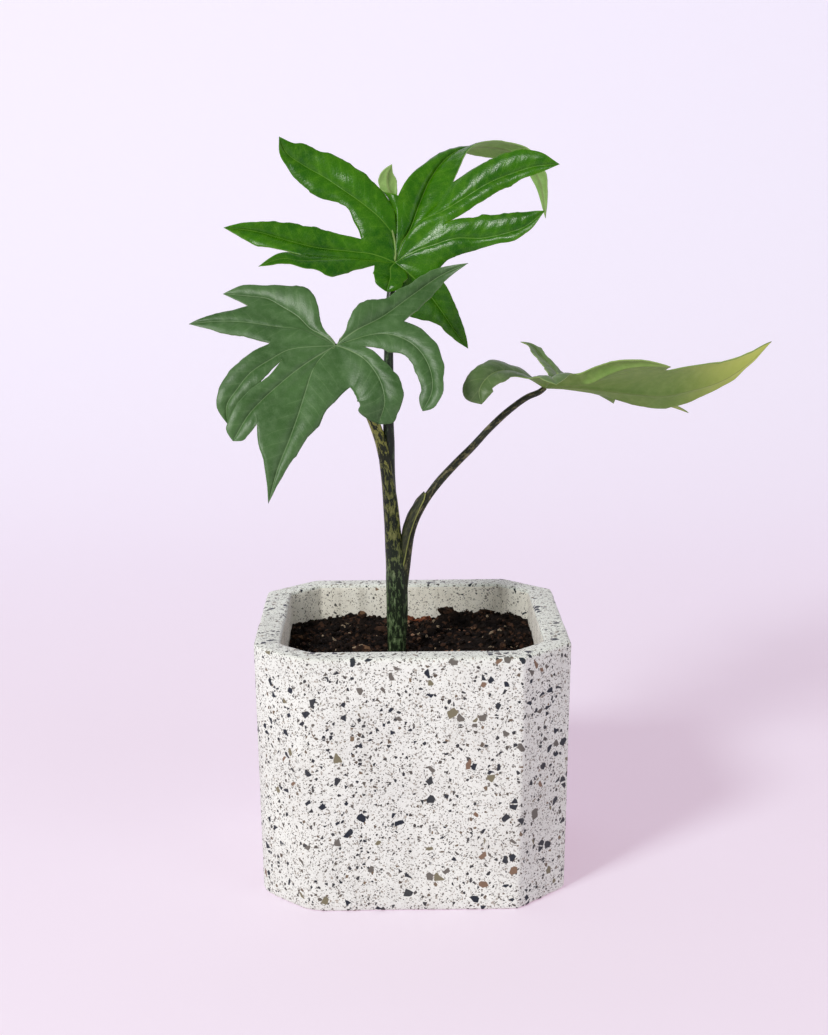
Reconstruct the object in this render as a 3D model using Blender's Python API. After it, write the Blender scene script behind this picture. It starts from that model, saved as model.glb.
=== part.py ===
"""A square terrazzo planter with one lobed-leaf aroid: three leaves on mottled stalks rising from one stem.

Metres, +Z up.  The origin is the middle of the planter's underside and the planter's front faces -Y.
"""
import math

import bmesh
import bpy
import numpy as np
from mathutils import Matrix, Vector

MM = 0.001

# planter
POT_WIDTH = 140.0
POT_HEIGHT = 116.0
POT_LEAN = 1.8
POT_WALL = 12.0
POT_CORNER_OUTER = 22.5
POT_CORNER_INNER = 14.0
POT_EDGE = 1.2
POT_EDGE_STEPS = 2

# potting soil
SOIL_LEVEL = 101.0
SOIL_LUMP = 2.2
SOIL_FOOT = 2.0
SOIL_RINGS = 7
SOIL_SPOKES = 40
SOCKET_DEPTH = 22.0

# fit between neighbouring pieces
GAP = 0.3

# stem and leaf stalks
STEM_SIDES = 16
STALK_SIDES = 10
SHEATH_WALL = 0.9

# leaf blades
BLADE_THICKNESS = 1.0
BLADE_ROWS = 12
BLADE_COLUMNS = 2
BLADE_BULGE = 0.08
BLADE_RELAX = 2
RIB_SAMPLES = 120


def clear_scene():
    for item in list(bpy.data.objects):
        bpy.data.objects.remove(item, do_unlink=True)


def make_material(name, colour, roughness):
    material = bpy.data.materials.new(name)
    material.use_nodes = True
    shader = material.node_tree.nodes["Principled BSDF"]
    shader.inputs["Base Color"].default_value = (*colour, 1.0)
    shader.inputs["Roughness"].default_value = roughness
    shader.inputs["Metallic"].default_value = 0.0
    return material


def make_object(name, points, faces, material, location=(0.0, 0.0, 0.0), parent=None):
    """Points are in millimetres from the object's own location, which is in millimetres too."""
    mesh = bpy.data.meshes.new(name)
    mesh.from_pydata([Vector(point) * MM for point in points], [], [tuple(face) for face in faces])
    mesh.validate()
    work = bmesh.new()
    work.from_mesh(mesh)
    bmesh.ops.recalc_face_normals(work, faces=work.faces)
    work.to_mesh(mesh)
    work.free()
    item = bpy.data.objects.new(name, mesh)
    bpy.context.scene.collection.objects.link(item)
    item.data.materials.append(material)
    item.parent = parent
    item.location = Vector(location) * MM
    return item


def shade_smooth(item):
    for polygon in item.data.polygons:
        polygon.use_smooth = True


# ---------------------------------------------------------------- planter

def octagon(half, corner, z):
    """A square of the given half width with its corners cut off, anticlockwise from above."""
    cut = half - corner
    return [(cut, -half, z), (half, -cut, z), (half, cut, z), (cut, half, z),
            (-cut, half, z), (-half, cut, z), (-half, -cut, z), (-cut, -half, z)]


def loft(rings):
    """Closed solid through rings of equal length, with the first and last rings capped."""
    count = len(rings[0])
    points = [point for ring in rings for point in ring]
    faces = []
    for ring in range(len(rings) - 1):
        for side in range(count):
            after = (side + 1) % count
            faces.append((ring * count + side, ring * count + after,
                          (ring + 1) * count + after, (ring + 1) * count + side))
    faces.append(tuple(reversed(range(count))))
    last = (len(rings) - 1) * count
    faces.append(tuple(range(last, last + count)))
    return points, faces


def build_pot():
    half = POT_WIDTH / 2
    inner = half - POT_WALL
    rings = [octagon(half - POT_LEAN, POT_CORNER_OUTER, 0.0),
             octagon(half, POT_CORNER_OUTER, POT_HEIGHT),
             octagon(inner, POT_CORNER_INNER, POT_HEIGHT),
             octagon(inner, POT_CORNER_INNER, POT_WALL)]
    points, faces = loft(rings)
    terrazzo = make_material("terrazzo", (0.67, 0.66, 0.64), 0.6)
    pot = make_object("pot", points, faces, terrazzo)
    bevel = pot.modifiers.new("softened edges", "BEVEL")
    bevel.width = POT_EDGE * MM
    bevel.segments = POT_EDGE_STEPS
    bevel.limit_method = "ANGLE"
    bevel.angle_limit = math.radians(30)
    return pot


# ---------------------------------------------------------------- smooth curves

def curve_through(knots, values, stations):
    """Smooth curve through the values at the knots, its slopes taken from the neighbours."""
    knots = np.asarray(knots, float)
    values = np.asarray(values, float)
    stations = np.atleast_1d(np.asarray(stations, float))
    step = np.diff(knots)
    rise = np.diff(values, axis=0) / step.reshape(-1, *[1] * (values.ndim - 1))
    slopes = np.zeros_like(values)
    slopes[0] = rise[0]
    slopes[-1] = rise[-1]
    for knot in range(1, len(knots) - 1):
        before = step[knot - 1]
        after = step[knot]
        slopes[knot] = (rise[knot - 1] * after + rise[knot] * before) / (before + after)
    place = np.clip(np.searchsorted(knots, stations, side="right") - 1, 0, len(step) - 1)
    shape = (-1, *[1] * (values.ndim - 1))
    t = ((stations - knots[place]) / step[place]).reshape(shape)
    span = step[place].reshape(shape)
    start = (1 + 2 * t) * (1 - t) ** 2 * values[place] + t * (1 - t) ** 2 * span * slopes[place]
    end = t * t * (3 - 2 * t) * values[place + 1] + t * t * (t - 1) * span * slopes[place + 1]
    return start + end


def unit(vectors):
    vectors = np.asarray(vectors, float)
    return vectors / np.linalg.norm(vectors, axis=-1, keepdims=True)


def path_knots(points):
    lengths = np.linalg.norm(np.diff(np.asarray(points, float), axis=0), axis=1)
    travelled = np.concatenate([[0.0], np.cumsum(lengths)])
    return travelled / travelled[-1]


def carry_frame(centres, start_normal):
    """Tangents along the path and a normal carried along it without twisting."""
    tangents = unit(np.gradient(centres, axis=0))
    normals = np.zeros_like(tangents)
    normal = np.asarray(start_normal, float)
    for row, tangent in enumerate(tangents):
        normal = unit(normal - tangent * np.dot(normal, tangent))
        normals[row] = normal
    return tangents, normals


# ---------------------------------------------------------------- stem and stalks

# each stop: x, y, z, radius
STEM = [(-6.5, 2.0, 82.0, 4.2), (-6.5, 2.0, 100.0, 4.3), (-6.3, 1.6, 122.0, 5.0), (-6.2, 1.0, 139.0, 5.2),
        (-6.6, 1.0, 145.5, 5.0), (-7.9, 1.0, 151.0, 4.0), (-8.6, 1.2, 163.0, 3.6), (-9.5, 1.6, 178.0, 3.4),
        (-10.5, 2.0, 189.0, 3.6), (-11.5, 2.0, 194.0, 4.0), (-11.7, 2.0, 197.2, 4.2)]
FRONT_STALK = [(-14.3, 1.2, 198.0, 1.8), (-14.6, 0.9, 202.0, 1.9), (-17.5, -2.5, 212.0, 1.8),
               (-22.5, -9.0, 223.0, 1.7), (-29.8, -21.5, 238.5, 1.5), (-32.2, -27.0, 243.4, 1.4),
               (-32.1, -29.1, 244.5, 1.2)]
TOP_STALK = [(-9.7, 2.4, 198.0, 2.3), (-9.7, 2.4, 203.0, 2.5), (-9.4, 4.0, 222.0, 2.3), (-9.2, 6.4, 240.0, 2.1),
             (-8.6, 10.2, 258.0, 1.9), (-7.2, 12.6, 270.0, 1.8), (-6.3, 11.4, 275.8, 1.6), (-5.9, 8.9, 277.5, 1.2)]
RIGHT_STALK = [(-0.4, 1.0, 147.6, 1.5), (-0.2, 1.0, 153.5, 1.8), (1.8, 0.5, 161.0, 1.9), (6.0, 0.0, 169.0, 1.9),
               (13.0, -0.7, 179.0, 1.9), (20.2, -1.2, 187.0, 1.8), (28.4, -1.8, 195.4, 1.7), (36.0, -2.4, 203.8, 1.6),
               (45.4, -3.0, 212.6, 1.5), (53.5, -3.5, 218.4, 1.4), (59.0, -3.8, 220.8, 1.3), (60.9, -3.9, 221.7, 1.2)]
# the sheath wraps this part of the right stalk: stop along it, half angle covered in degrees
SHEATH = [(0.06, 60.0), (0.1, 90.0), (0.15, 85.0), (0.21, 50.0), (0.26, 14.0)]
SHEATH_FACING = (-0.75, -0.66, 0.0)
SHEATH_STEPS = 14
SHEATH_ARC_STEPS = 8


def tube(stops, sides, rows):
    """Rings of a round stalk through the stops."""
    stops = np.asarray(stops, float)
    knots = path_knots(stops[:, :3])
    stations = np.linspace(0.0, 1.0, rows)
    curve = curve_through(knots, stops, stations)
    centres = curve[:, :3]
    tangents, normals = carry_frame(centres, (0.0, -1.0, 0.05))
    rings = []
    for centre, tangent, normal, radius in zip(centres, tangents, normals, curve[:, 3]):
        side = np.cross(tangent, normal)
        ring = []
        for step in range(sides):
            angle = 2 * math.pi * step / sides
            ring.append(tuple(centre + (normal * math.cos(angle) + side * math.sin(angle)) * radius))
        rings.append(ring)
    return loft(rings)


def build_stalk(name, stops, sides, rows, material, parent):
    points, faces = tube(stops, sides, rows)
    item = make_object(name, points, faces, material, parent=parent)
    shade_smooth(item)
    return item


def build_sheath(material, parent):
    """A thin gutter-shaped wing lying round the foot of the right stalk, drawn out to a point above."""
    stops = np.asarray(RIGHT_STALK, float)
    knots = path_knots(stops[:, :3])
    table = np.asarray(SHEATH, float)
    stations = np.linspace(table[0, 0], table[-1, 0], SHEATH_STEPS)
    curve = curve_through(knots, stops, stations)
    reach = np.radians(curve_through(table[:, 0], table[:, 1], stations))
    tangents, normals = carry_frame(curve[:, :3], SHEATH_FACING)
    rings = []
    for row in range(SHEATH_STEPS):
        side = np.cross(tangents[row], normals[row])
        inner_radius = curve[row, 3] + GAP
        outer_radius = inner_radius + SHEATH_WALL
        angles = np.linspace(-reach[row], reach[row], SHEATH_ARC_STEPS)
        ring = []
        for radius, order in ((outer_radius, angles), (inner_radius, angles[::-1])):
            for angle in order:
                offset = (normals[row] * math.cos(angle) + side * math.sin(angle)) * radius
                ring.append(tuple(curve[row, :3] + offset))
        rings.append(ring)
    points, faces = loft(rings)
    return make_object("petiole_sheath", points, faces, material, parent=parent)


# ---------------------------------------------------------------- soil

def soil_height(x, y):
    """Lumpy top: a few crossed waves, a little higher towards the back right."""
    waves = math.sin(x * 0.19 + 1.0) * math.cos(y * 0.23 - 0.6) + 0.6 * math.sin(x * 0.41 - y * 0.33)
    return SOIL_LEVEL + SOIL_LUMP * waves * 0.6 + 0.025 * x + 0.02 * y


def walk_octagon(ring, count):
    """Points spaced evenly round a closed ring, starting at its first corner."""
    closed = np.asarray(list(ring) + [ring[0]], float)
    return curve_even(closed, count)


def curve_even(closed, count):
    knots = path_knots(closed)
    stations = np.arange(count) / count
    return np.stack([np.interp(stations, knots, closed[:, axis]) for axis in range(3)], axis=1)


def build_soil(parent):
    half = POT_WIDTH / 2 - POT_WALL - GAP
    corner = POT_CORNER_INNER
    centre = np.array([STEM[0][0], STEM[0][1], 0.0])
    socket_radius = STEM[1][3] + GAP
    outline = walk_octagon(octagon(half, corner, 0.0), SOIL_SPOKES)
    socket = []
    for point in outline:
        socket.append(centre + unit(point - centre) * socket_radius)
    floor = POT_WALL + GAP
    inset = (half - SOIL_FOOT) / half
    rings = [[(x * inset, y * inset, floor) for x, y, z in outline],
             [(x, y, floor + SOIL_FOOT) for x, y, z in outline]]
    for step in range(SOIL_RINGS + 1):
        t = (step / SOIL_RINGS) ** 0.8
        ring = []
        for rim, hole in zip(outline, socket):
            x, y, z = rim * (1 - t) + hole * t
            ring.append((x, y, soil_height(x, y)))
        rings.append(ring)
    rings.append([(x, y, STEM[0][2] - GAP) for x, y, z in socket])
    points, faces = loft(rings)
    peat = make_material("potting_soil", (0.02, 0.012, 0.009), 0.95)
    soil = make_object("soil", points, faces, peat, parent=parent)
    return soil


# ---------------------------------------------------------------- leaf blades

# Each lobe, clockwise as its upper face is seen: name; midrib points from the stalk joint; roll of the blade
# about the midrib as (station, degrees), positive leaning the face to its left; fold up of the two halves in
# degrees; then the left and right margins as (station, width).  A margin that does not start at the joint
# starts at the notch it shares with the next lobe.
FRONT_LEAF = [
    ("back_right", [(5, 1, 4), (21, 8, 12), (33, 14, 20), (47, 18, 29), (58, 16, 34)], [(0, 0), (1, 0)], 8,
     [(0, 0), (0.1, 2), (0.2, 8), (0.3, 10), (0.4, 7), (0.6, 5), (0.8, 3.5)],
     [(0.43, 7.6), (0.6, 6.8), (0.7, 5.6), (0.8, 3.6)]),
    ("right", [(12, 0, 4), (22, -1, 5), (33, -5, 1), (40, -12, -8), (41, -18, -18), (37, -20, -26)],
     [(0, 0), (1, 0)], 6,
     [(0.4, 7), (0.6, 7.2), (0.7, 6.5), (0.8, 5.3), (0.9, 4.3)],
     [(0.17, 4.8), (0.3, 7.3), (0.4, 7.6), (0.55, 6), (0.7, 5.9), (0.85, 4.6)]),
    ("lower_right", [(5, -3, -1), (11, -7, -4), (17, -12, -10), (20, -16, -16), (21, -18, -22), (18, -16, -32)],
     [(0, 0), (1, 0)], 6,
     [(0.24, 4.2), (0.35, 5.2), (0.5, 6.3), (0.7, 8.4), (0.85, 5.6)],
     [(0.53, 12.2), (0.6, 11.8), (0.8, 10.4), (0.9, 8.6)]),
    ("tip", [(-4, -3, -1), (-9, -8, -8), (-13, -16, -19), (-16, -22, -28), (-19, -27, -36), (-24, -33, -48),
             (-28, -37, -62)], [(0, 0), (1, 0)], 6,
     [(0.25, 17), (0.33, 14), (0.4, 11.2), (0.5, 9.6), (0.6, 7), (0.75, 4), (0.88, 2)],
     [(0.62, 15), (0.7, 12.4), (0.8, 6.4), (0.9, 2.6)]),
    ("lower_left", [(-6, -4, -3), (-16, -10, -9), (-24, -15, -15), (-30, -19, -20), (-36, -23, -26),
                    (-43, -27, -37)], [(0, 0), (1, 0)], 6,
     [(0.83, 5.3), (0.92, 4.4)],
     [(0.36, 7.5), (0.5, 5.6), (0.7, 6.5), (0.8, 6.5), (0.9, 5.4)]),
    ("left_low", [(-12, -4, 0), (-20, -6, -1), (-28, -9, -5), (-36, -12, -10), (-42, -15, -17), (-46, -17, -23),
                  (-46, -18, -31)], [(0, 0), (1, 0)], 6,
     [(0.39, 2.8), (0.5, 4.6), (0.6, 6.2), (0.8, 5.1), (0.9, 4.1)],
     [(0.4, 6), (0.6, 6.9), (0.75, 7.3), (0.9, 3.8)]),
    ("left", [(-3, 0, 2), (-11, 2, 6), (-26, 4, 8), (-42, 6, 10), (-54, 7, 10), (-64, 8, 9)], [(0, 0), (1, 0)], 6,
     [(0.43, 8.6), (0.6, 7.6), (0.7, 7), (0.8, 5.6), (0.9, 2.9)],
     [(0.62, 7.3), (0.7, 5.4), (0.8, 3.9), (0.9, 2.3)]),
    ("back_left", [(-3, 1, 3), (-10, 5, 6), (-17, 10, 12), (-24, 13, 16), (-30, 16, 19), (-38, 18, 20),
                   (-50, 20, 21)], [(0, 0), (1, 0)], 6,
     [(0.79, 5), (0.9, 2.4)],
     [(0, 0), (0.1, 1.5), (0.2, 4.5), (0.3, 8.2), (0.4, 12), (0.5, 12), (0.6, 8.9), (0.7, 5.8), (0.85, 5)]),
]
TOP_LEAF = [
    ("small", [(-2, -3, -2), (-2, -7, -6), (-3, -11, -9), (-4, -12, -12)], [(0, 0), (1, 0)], 8,
     [(0, 0), (0.1, 3.9), (0.25, 5.7), (0.7, 6.3), (0.9, 4.6)],
     [(0.28, 7.2), (0.6, 7.6), (0.8, 6.8), (0.9, 5.2)]),
    ("left_low", [(-9, -3, 1), (-21, -6, 2), (-33, -10, 2), (-41, -13, 2), (-50, -15, 3), (-60, -19, 0)],
     [(0, 0), (1, 0)], 8,
     [(0.16, 2.4), (0.3, 6), (0.4, 8.3), (0.5, 9), (0.6, 5.6), (0.75, 3), (0.9, 2.2)],
     [(0.67, 2.5), (0.8, 2.4), (0.9, 1.5)]),
    ("left", [(-6, 0, 3), (-19, 1, 5), (-36, 2, 7), (-48, 3, 10), (-62, 4, 14), (-77, 4, 16)],
     [(0, 0), (1, 0)], 8,
     [(0.52, 5.4), (0.65, 5.8), (0.8, 6.6), (0.9, 4.1)],
     [(0.21, 6.1), (0.4, 8), (0.5, 8.6), (0.6, 8.2), (0.7, 6.8), (0.8, 4.6), (0.9, 2.8)]),
    ("left_up", [(1, 3, 8), (-6, 6, 19), (-13, 9, 25), (-23, 12, 32), (-32, 15, 38), (-41, 17, 43), (-49, 18, 49),
                 (-52, 17, 56)], [(0, 0), (1, 0)], 8,
     [(0.25, 12.7), (0.35, 9.6), (0.5, 5.8), (0.58, 9), (0.7, 8.8), (0.8, 6.6), (0.9, 3.7)],
     [(0.31, 10.4), (0.4, 11.9), (0.5, 12.9), (0.6, 12.3), (0.75, 9.5), (0.9, 7)]),
    ("curled", [(1, 4, 10), (1, 8, 21), (0, 11, 32), (0, 10, 40), (-1, 6, 42), (-2, 3, 39), (-2, 3, 33)],
     [(0, 0), (1, 0)], 4,
     [(0.55, 2), (0.68, 5), (0.78, 5.5), (0.9, 4)],
     [(0.64, 2), (0.75, 2.6), (0.88, 2.4)]),
    ("main", [(0, 1, 5), (6, 4, 13), (11, 9, 25), (16, 14, 36), (22, 20, 44), (29, 27, 49), (39, 35, 51),
              (51, 41, 50), (62, 43, 45), (68, 41, 36), (71, 37, 18)], [(0, 0), (0.35, 5), (0.55, 80), (1, 90)], 6,
     [(0.27, 12.8), (0.32, 12), (0.4, 7), (0.5, 4), (0.6, 5.5), (0.7, 4), (0.8, 4), (0.9, 3)],
     [(0.35, 9.6), (0.4, 8.5), (0.5, 4), (0.6, 2.5), (0.7, 4), (0.8, 5), (0.9, 3)]),
    ("right_up", [(6, 0, 13), (11, 0, 18), (22, 0, 23), (32, 0, 29), (42, -1, 35), (52, -2, 39), (62, -4, 42),
                  (73, -7, 43)], [(0, 0), (1, 0)], 8,
     [(0.49, 8.8), (0.6, 8.8), (0.7, 9.5), (0.8, 9.2), (0.9, 6.1)],
     [(0.34, 5.5), (0.6, 6), (0.7, 5.4), (0.8, 4.4), (0.9, 3.2)]),
    ("right", [(2, -1, 2), (8, -2, 5), (17, -4, 8), (27, -6, 11), (38, -8, 11), (48, -11, 13), (57, -13, 16),
               (66, -14, 23)], [(0, 0), (1, 0)], 8,
     [(0.36, 7.5), (0.5, 9.2), (0.6, 9.8), (0.7, 9.2), (0.8, 7.9), (0.9, 5.6)],
     [(0.26, 12), (0.33, 9), (0.42, 8), (0.5, 6.2), (0.6, 4), (0.8, 4.2), (0.9, 2.1)]),
    ("lower_right", [(3, -2, -2), (10, -3, -8), (16, -3, -15), (21, -2, -22), (27, -1, -31), (33, 0, -39)],
     [(0, 0), (1, 0)], 8,
     [(0.32, 9.1), (0.5, 7.8), (0.7, 5.8), (0.85, 3.6)],
     [(0, 0), (0.1, 4.5), (0.2, 9.6), (0.3, 13), (0.4, 15), (0.5, 12), (0.6, 7.4), (0.75, 4.2), (0.9, 2)]),
]
RIGHT_LEAF = [
    ("back", [(7, 8, 2), (6, 17, 5), (1, 28, 10), (-3, 37, 14), (-8, 42, 16)], [(0, 0), (1, 0)], 25,
     [(0, 0), (0.15, 4), (0.3, 6.5), (0.5, 6.5), (0.7, 5), (0.85, 3.5)],
     [(0.4, 7), (0.55, 5), (0.75, 3), (0.9, 1.6)]),
    ("back_right", [(11, 12, -1), (22, 26, -5), (32, 38, -10), (37, 44, -14)], [(0, 0), (1, 0)], 8,
     [(0.3, 8), (0.5, 9), (0.75, 7), (0.9, 4)],
     [(0.35, 8), (0.5, 8), (0.75, 6.5), (0.9, 4)]),
    ("right_low", [(15, 8, -2), (31, 20, -7), (49, 31, -12), (64, 37, -15), (72, 39, -18)], [(0, 0), (1, 0)], 8,
     [(0.25, 7), (0.45, 9), (0.7, 8), (0.9, 4)],
     [(0.4, 10), (0.6, 9), (0.8, 6), (0.9, 4)]),
    ("main", [(10, 0, 0), (27, 1, -2), (42, 3, -4), (55, 5, -5), (67, 7, -3), (82, 10, 1), (95, 13, 9),
              (105, 16, 18)], [(0, 0), (0.2, 40), (1, 50)], 6,
     [(0.28, 9), (0.4, 10), (0.5, 10), (0.6, 9), (0.7, 7), (0.85, 4)],
     [(0.53, 14), (0.62, 14), (0.72, 12.5), (0.85, 8), (0.93, 4.5)]),
    ("near_right", [(9, -4, 1), (20, -9, 3), (26, -15, 7), (35, -22, 11), (44, -26, 12), (52, -28, 12)],
     [(0, 0), (0.3, 40), (1, 40)], 6,
     [(0.9, 7), (0.95, 4)],
     [(0.3, 8), (0.5, 6), (0.7, 5), (0.85, 3.5)]),
    ("near", [(1, -8, 4), (1, -17, 6), (1, -25, 7), (2, -31, 5)], [(0, 0), (1, 0)], 6,
     [(0.35, 10), (0.6, 9), (0.8, 7), (0.9, 5)],
     [(0.5, 8), (0.7, 7), (0.9, 4)]),
    ("left", [(-6, -4, 4), (-15, -9, 8), (-21, -14, 9), (-27, -20, 7), (-31, -25, 1), (-30, -27, -4)],
     [(0, 0), (0.3, 20), (1, 20)], 6,
     [(0.35, 6), (0.6, 6), (0.8, 5), (0.9, 4)],
     [(0, 0), (0.1, 3), (0.25, 6), (0.45, 7), (0.7, 6), (0.85, 5)]),
]
# where each stalk joins its blade, and which way the blade's upper face looks there
FRONT_JOINT = (-32, -30, 245)
FRONT_FACE = (0.05, -0.86, 0.5)
TOP_JOINT = (-6, 8, 278)
TOP_FACE = (-0.05, -0.86, 0.5)
RIGHT_JOINT = (61, -4, 223)
RIGHT_FACE = (-0.05, -0.12, 1.0)


class Lobe:
    """One lobe's midrib in space, with the blade's own directions along it."""

    def __init__(self, midrib, roll, fold, left, right, face):
        stops = np.array([(0, 0, 0)] + midrib, float)
        self.stations = np.linspace(0.0, 1.0, RIB_SAMPLES)
        self.centres = curve_through(path_knots(stops), stops, self.stations)
        tangents, normals = carry_frame(self.centres, face)
        lean = np.radians(curve_through([r[0] for r in roll], [r[1] for r in roll], self.stations))[:, None]
        across = np.cross(normals, tangents)
        self.normals = normals * np.cos(lean) + across * np.sin(lean)
        self.across = np.cross(self.normals, tangents)
        self.fold = math.tan(math.radians(fold))
        self.margins = {1: left + [(1.0, 0.0)], -1: right + [(1.0, 0.0)]}

    def sample(self, table, stations):
        return np.stack([np.interp(stations, self.stations, table[:, axis]) for axis in range(3)], axis=-1)

    def rib(self, stations):
        return self.sample(self.centres, stations)

    def margin(self, side, stations):
        knots = self.margins[side]
        widths = curve_through([k[0] for k in knots], [k[1] for k in knots], stations)[:, None]
        outwards = self.sample(self.across, stations) * side + self.sample(self.normals, stations) * self.fold
        return self.rib(stations) + outwards * widths


def blade_surface(lobes, face, rows, columns, bulge, relax):
    """Middle surface of a leaf: a fan of lobes round the stalk joint, neighbours joined up to their notch."""
    fan = [Lobe(*lobe[1:], face) for lobe in lobes]
    points = [np.zeros(3)]

    def add(point):
        points.append(np.asarray(point, float))
        return len(points) - 1

    notches = []
    for here, after in zip(fan[:-1], fan[1:]):
        starts = (here.margins[-1][0][0], after.margins[1][0][0])
        place = (here.margin(-1, starts[:1])[0] + after.margin(1, starts[1:])[0]) / 2
        count = int(np.clip(round(rows * sum(starts) / 2), 2, rows - 2))
        seam = [0] + [add(place * step / count) for step in range(1, count + 1)]
        notches.append((place, seam))
    faces = []
    held = {0}
    for number, lobe in enumerate(fan):
        stations = np.linspace(0.0, 1.0, rows + 1)
        rib = [0] + [add(point) for point in lobe.rib(stations[1:])]
        held.update(rib)
        for side in (1, -1):
            notch = number - 1 if side == 1 else number
            if 0 <= notch < len(notches):
                place, seam = notches[notch]
            else:
                place, seam = None, [0]
            joined = len(seam) - 1
            start = lobe.margins[side][0][0]
            free = np.linspace(start, 1.0, rows - joined + 1)
            edge_points = lobe.margin(side, free)
            if place is not None:
                fade = (1 - (free - start) / (1 - start))[:, None] ** 2
                edge_points = edge_points + (place - edge_points[0]) * fade
            edge = seam + [add(point) for point in edge_points[1:-1]] + [rib[-1]]
            held.update(edge[joined:])
            grid = [[0] * (columns + 1)]
            for row in range(1, rows):
                inner = points[rib[row]]
                outer = points[edge[row]]
                lift = lobe.sample(lobe.normals, stations[row]) * np.linalg.norm(outer - inner) * bulge
                line = [rib[row]]
                for column in range(1, columns):
                    t = column / columns
                    line.append(add(inner * (1 - t) + outer * t + lift * 4 * t * (1 - t)))
                grid.append(line + [edge[row]])
            grid.append([rib[-1]] * (columns + 1))
            for row in range(rows):
                for column in range(columns):
                    corners = [grid[row][column], grid[row + 1][column], grid[row + 1][column + 1],
                               grid[row][column + 1]]
                    if side == -1:
                        corners.reverse()
                    kept = [corner for i, corner in enumerate(corners) if corner not in corners[:i]]
                    if len(kept) > 2:
                        faces.append(tuple(kept))
    points = np.array(points)
    links = sorted({tuple(sorted((f[i], f[i - 1]))) for f in faces for i in range(len(f))})
    ends = np.array(links)
    free_points = np.ones(len(points), bool)
    free_points[list(held)] = False
    for sweep in range(relax):
        total = np.zeros_like(points)
        count = np.zeros(len(points))
        for a, b in ((0, 1), (1, 0)):
            np.add.at(total, ends[:, a], points[ends[:, b]])
            np.add.at(count, ends[:, a], 1)
        points[free_points] = (total / count[:, None])[free_points]
    return points, faces


def build_leaf(name, lobes, joint, face, material, parent):
    face = unit(face)
    points, faces = blade_surface(lobes, face, BLADE_ROWS, BLADE_COLUMNS, BLADE_BULGE, BLADE_RELAX)
    mesh = bpy.data.meshes.new(name)
    mesh.from_pydata([Vector(point) * MM for point in points], [], faces)
    item = bpy.data.objects.new(name, mesh)
    bpy.context.scene.collection.objects.link(item)
    mesh.materials.append(material)
    item.parent = parent
    item.location = Vector(joint) * MM
    sheet = item.modifiers.new("blade thickness", "SOLIDIFY")
    sheet.thickness = BLADE_THICKNESS * MM
    sheet.offset = 0.0
    shade_smooth(item)
    return item


def main():
    clear_scene()
    pot = build_pot()
    build_soil(pot)
    stem_green = make_material("stem_skin", (0.04, 0.05, 0.018), 0.45)
    stalk_green = make_material("stalk_skin", (0.1, 0.11, 0.06), 0.45)
    dark_stalk = make_material("dark_stalk_skin", (0.04, 0.06, 0.03), 0.3)
    sheath_green = make_material("sheath_skin", (0.12, 0.15, 0.07), 0.5)
    build_stalk("stem_base", STEM, STEM_SIDES, 24, stem_green, pot)
    build_stalk("petiole_front", FRONT_STALK, STALK_SIDES, 16, stalk_green, pot)
    build_stalk("petiole_top", TOP_STALK, STALK_SIDES, 20, dark_stalk, pot)
    build_stalk("petiole_right", RIGHT_STALK, STALK_SIDES, 26, stalk_green, pot)
    build_sheath(sheath_green, pot)
    grey_green = make_material("front_blade", (0.09, 0.16, 0.07), 0.45)
    fresh_green = make_material("top_blade", (0.05, 0.14, 0.01), 0.3)
    pale_green = make_material("right_blade", (0.2, 0.26, 0.09), 0.5)
    build_leaf("leaf_front", FRONT_LEAF, FRONT_JOINT, FRONT_FACE, grey_green, pot)
    build_leaf("leaf_top", TOP_LEAF, TOP_JOINT, TOP_FACE, fresh_green, pot)
    build_leaf("leaf_right", RIGHT_LEAF, RIGHT_JOINT, RIGHT_FACE, pale_green, pot)


main()
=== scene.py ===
"""A square terrazzo planter with a young lobed-leaf aroid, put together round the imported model."""
import math
import random

import bpy
import numpy as np
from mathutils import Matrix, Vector, noise


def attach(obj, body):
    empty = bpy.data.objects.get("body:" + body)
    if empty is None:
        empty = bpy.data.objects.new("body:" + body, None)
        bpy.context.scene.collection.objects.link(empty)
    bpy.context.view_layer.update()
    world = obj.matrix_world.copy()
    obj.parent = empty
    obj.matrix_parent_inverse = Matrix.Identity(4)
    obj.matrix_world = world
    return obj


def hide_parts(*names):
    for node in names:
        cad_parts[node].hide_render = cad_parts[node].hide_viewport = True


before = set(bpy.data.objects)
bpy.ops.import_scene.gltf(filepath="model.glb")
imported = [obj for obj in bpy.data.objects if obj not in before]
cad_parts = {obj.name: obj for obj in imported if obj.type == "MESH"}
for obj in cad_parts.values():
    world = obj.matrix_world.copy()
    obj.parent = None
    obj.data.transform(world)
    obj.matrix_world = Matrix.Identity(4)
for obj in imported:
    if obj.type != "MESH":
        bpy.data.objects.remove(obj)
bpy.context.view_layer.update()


# ---------------------------------------------------------------- planter
# One piece of cast cement with stone chips through it, ground smooth outside and left as it came from
# the mould inside.  It is a square tub with its four corners cut off and its edges rubbed soft.
# The inside face's cement is painted whiter than the outside's, as painted light on the wall that the rim and
# leaves shade.

# sizes and places are in millimetres unless a note says otherwise, and this turns them into metres
MM = 0.001


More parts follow.
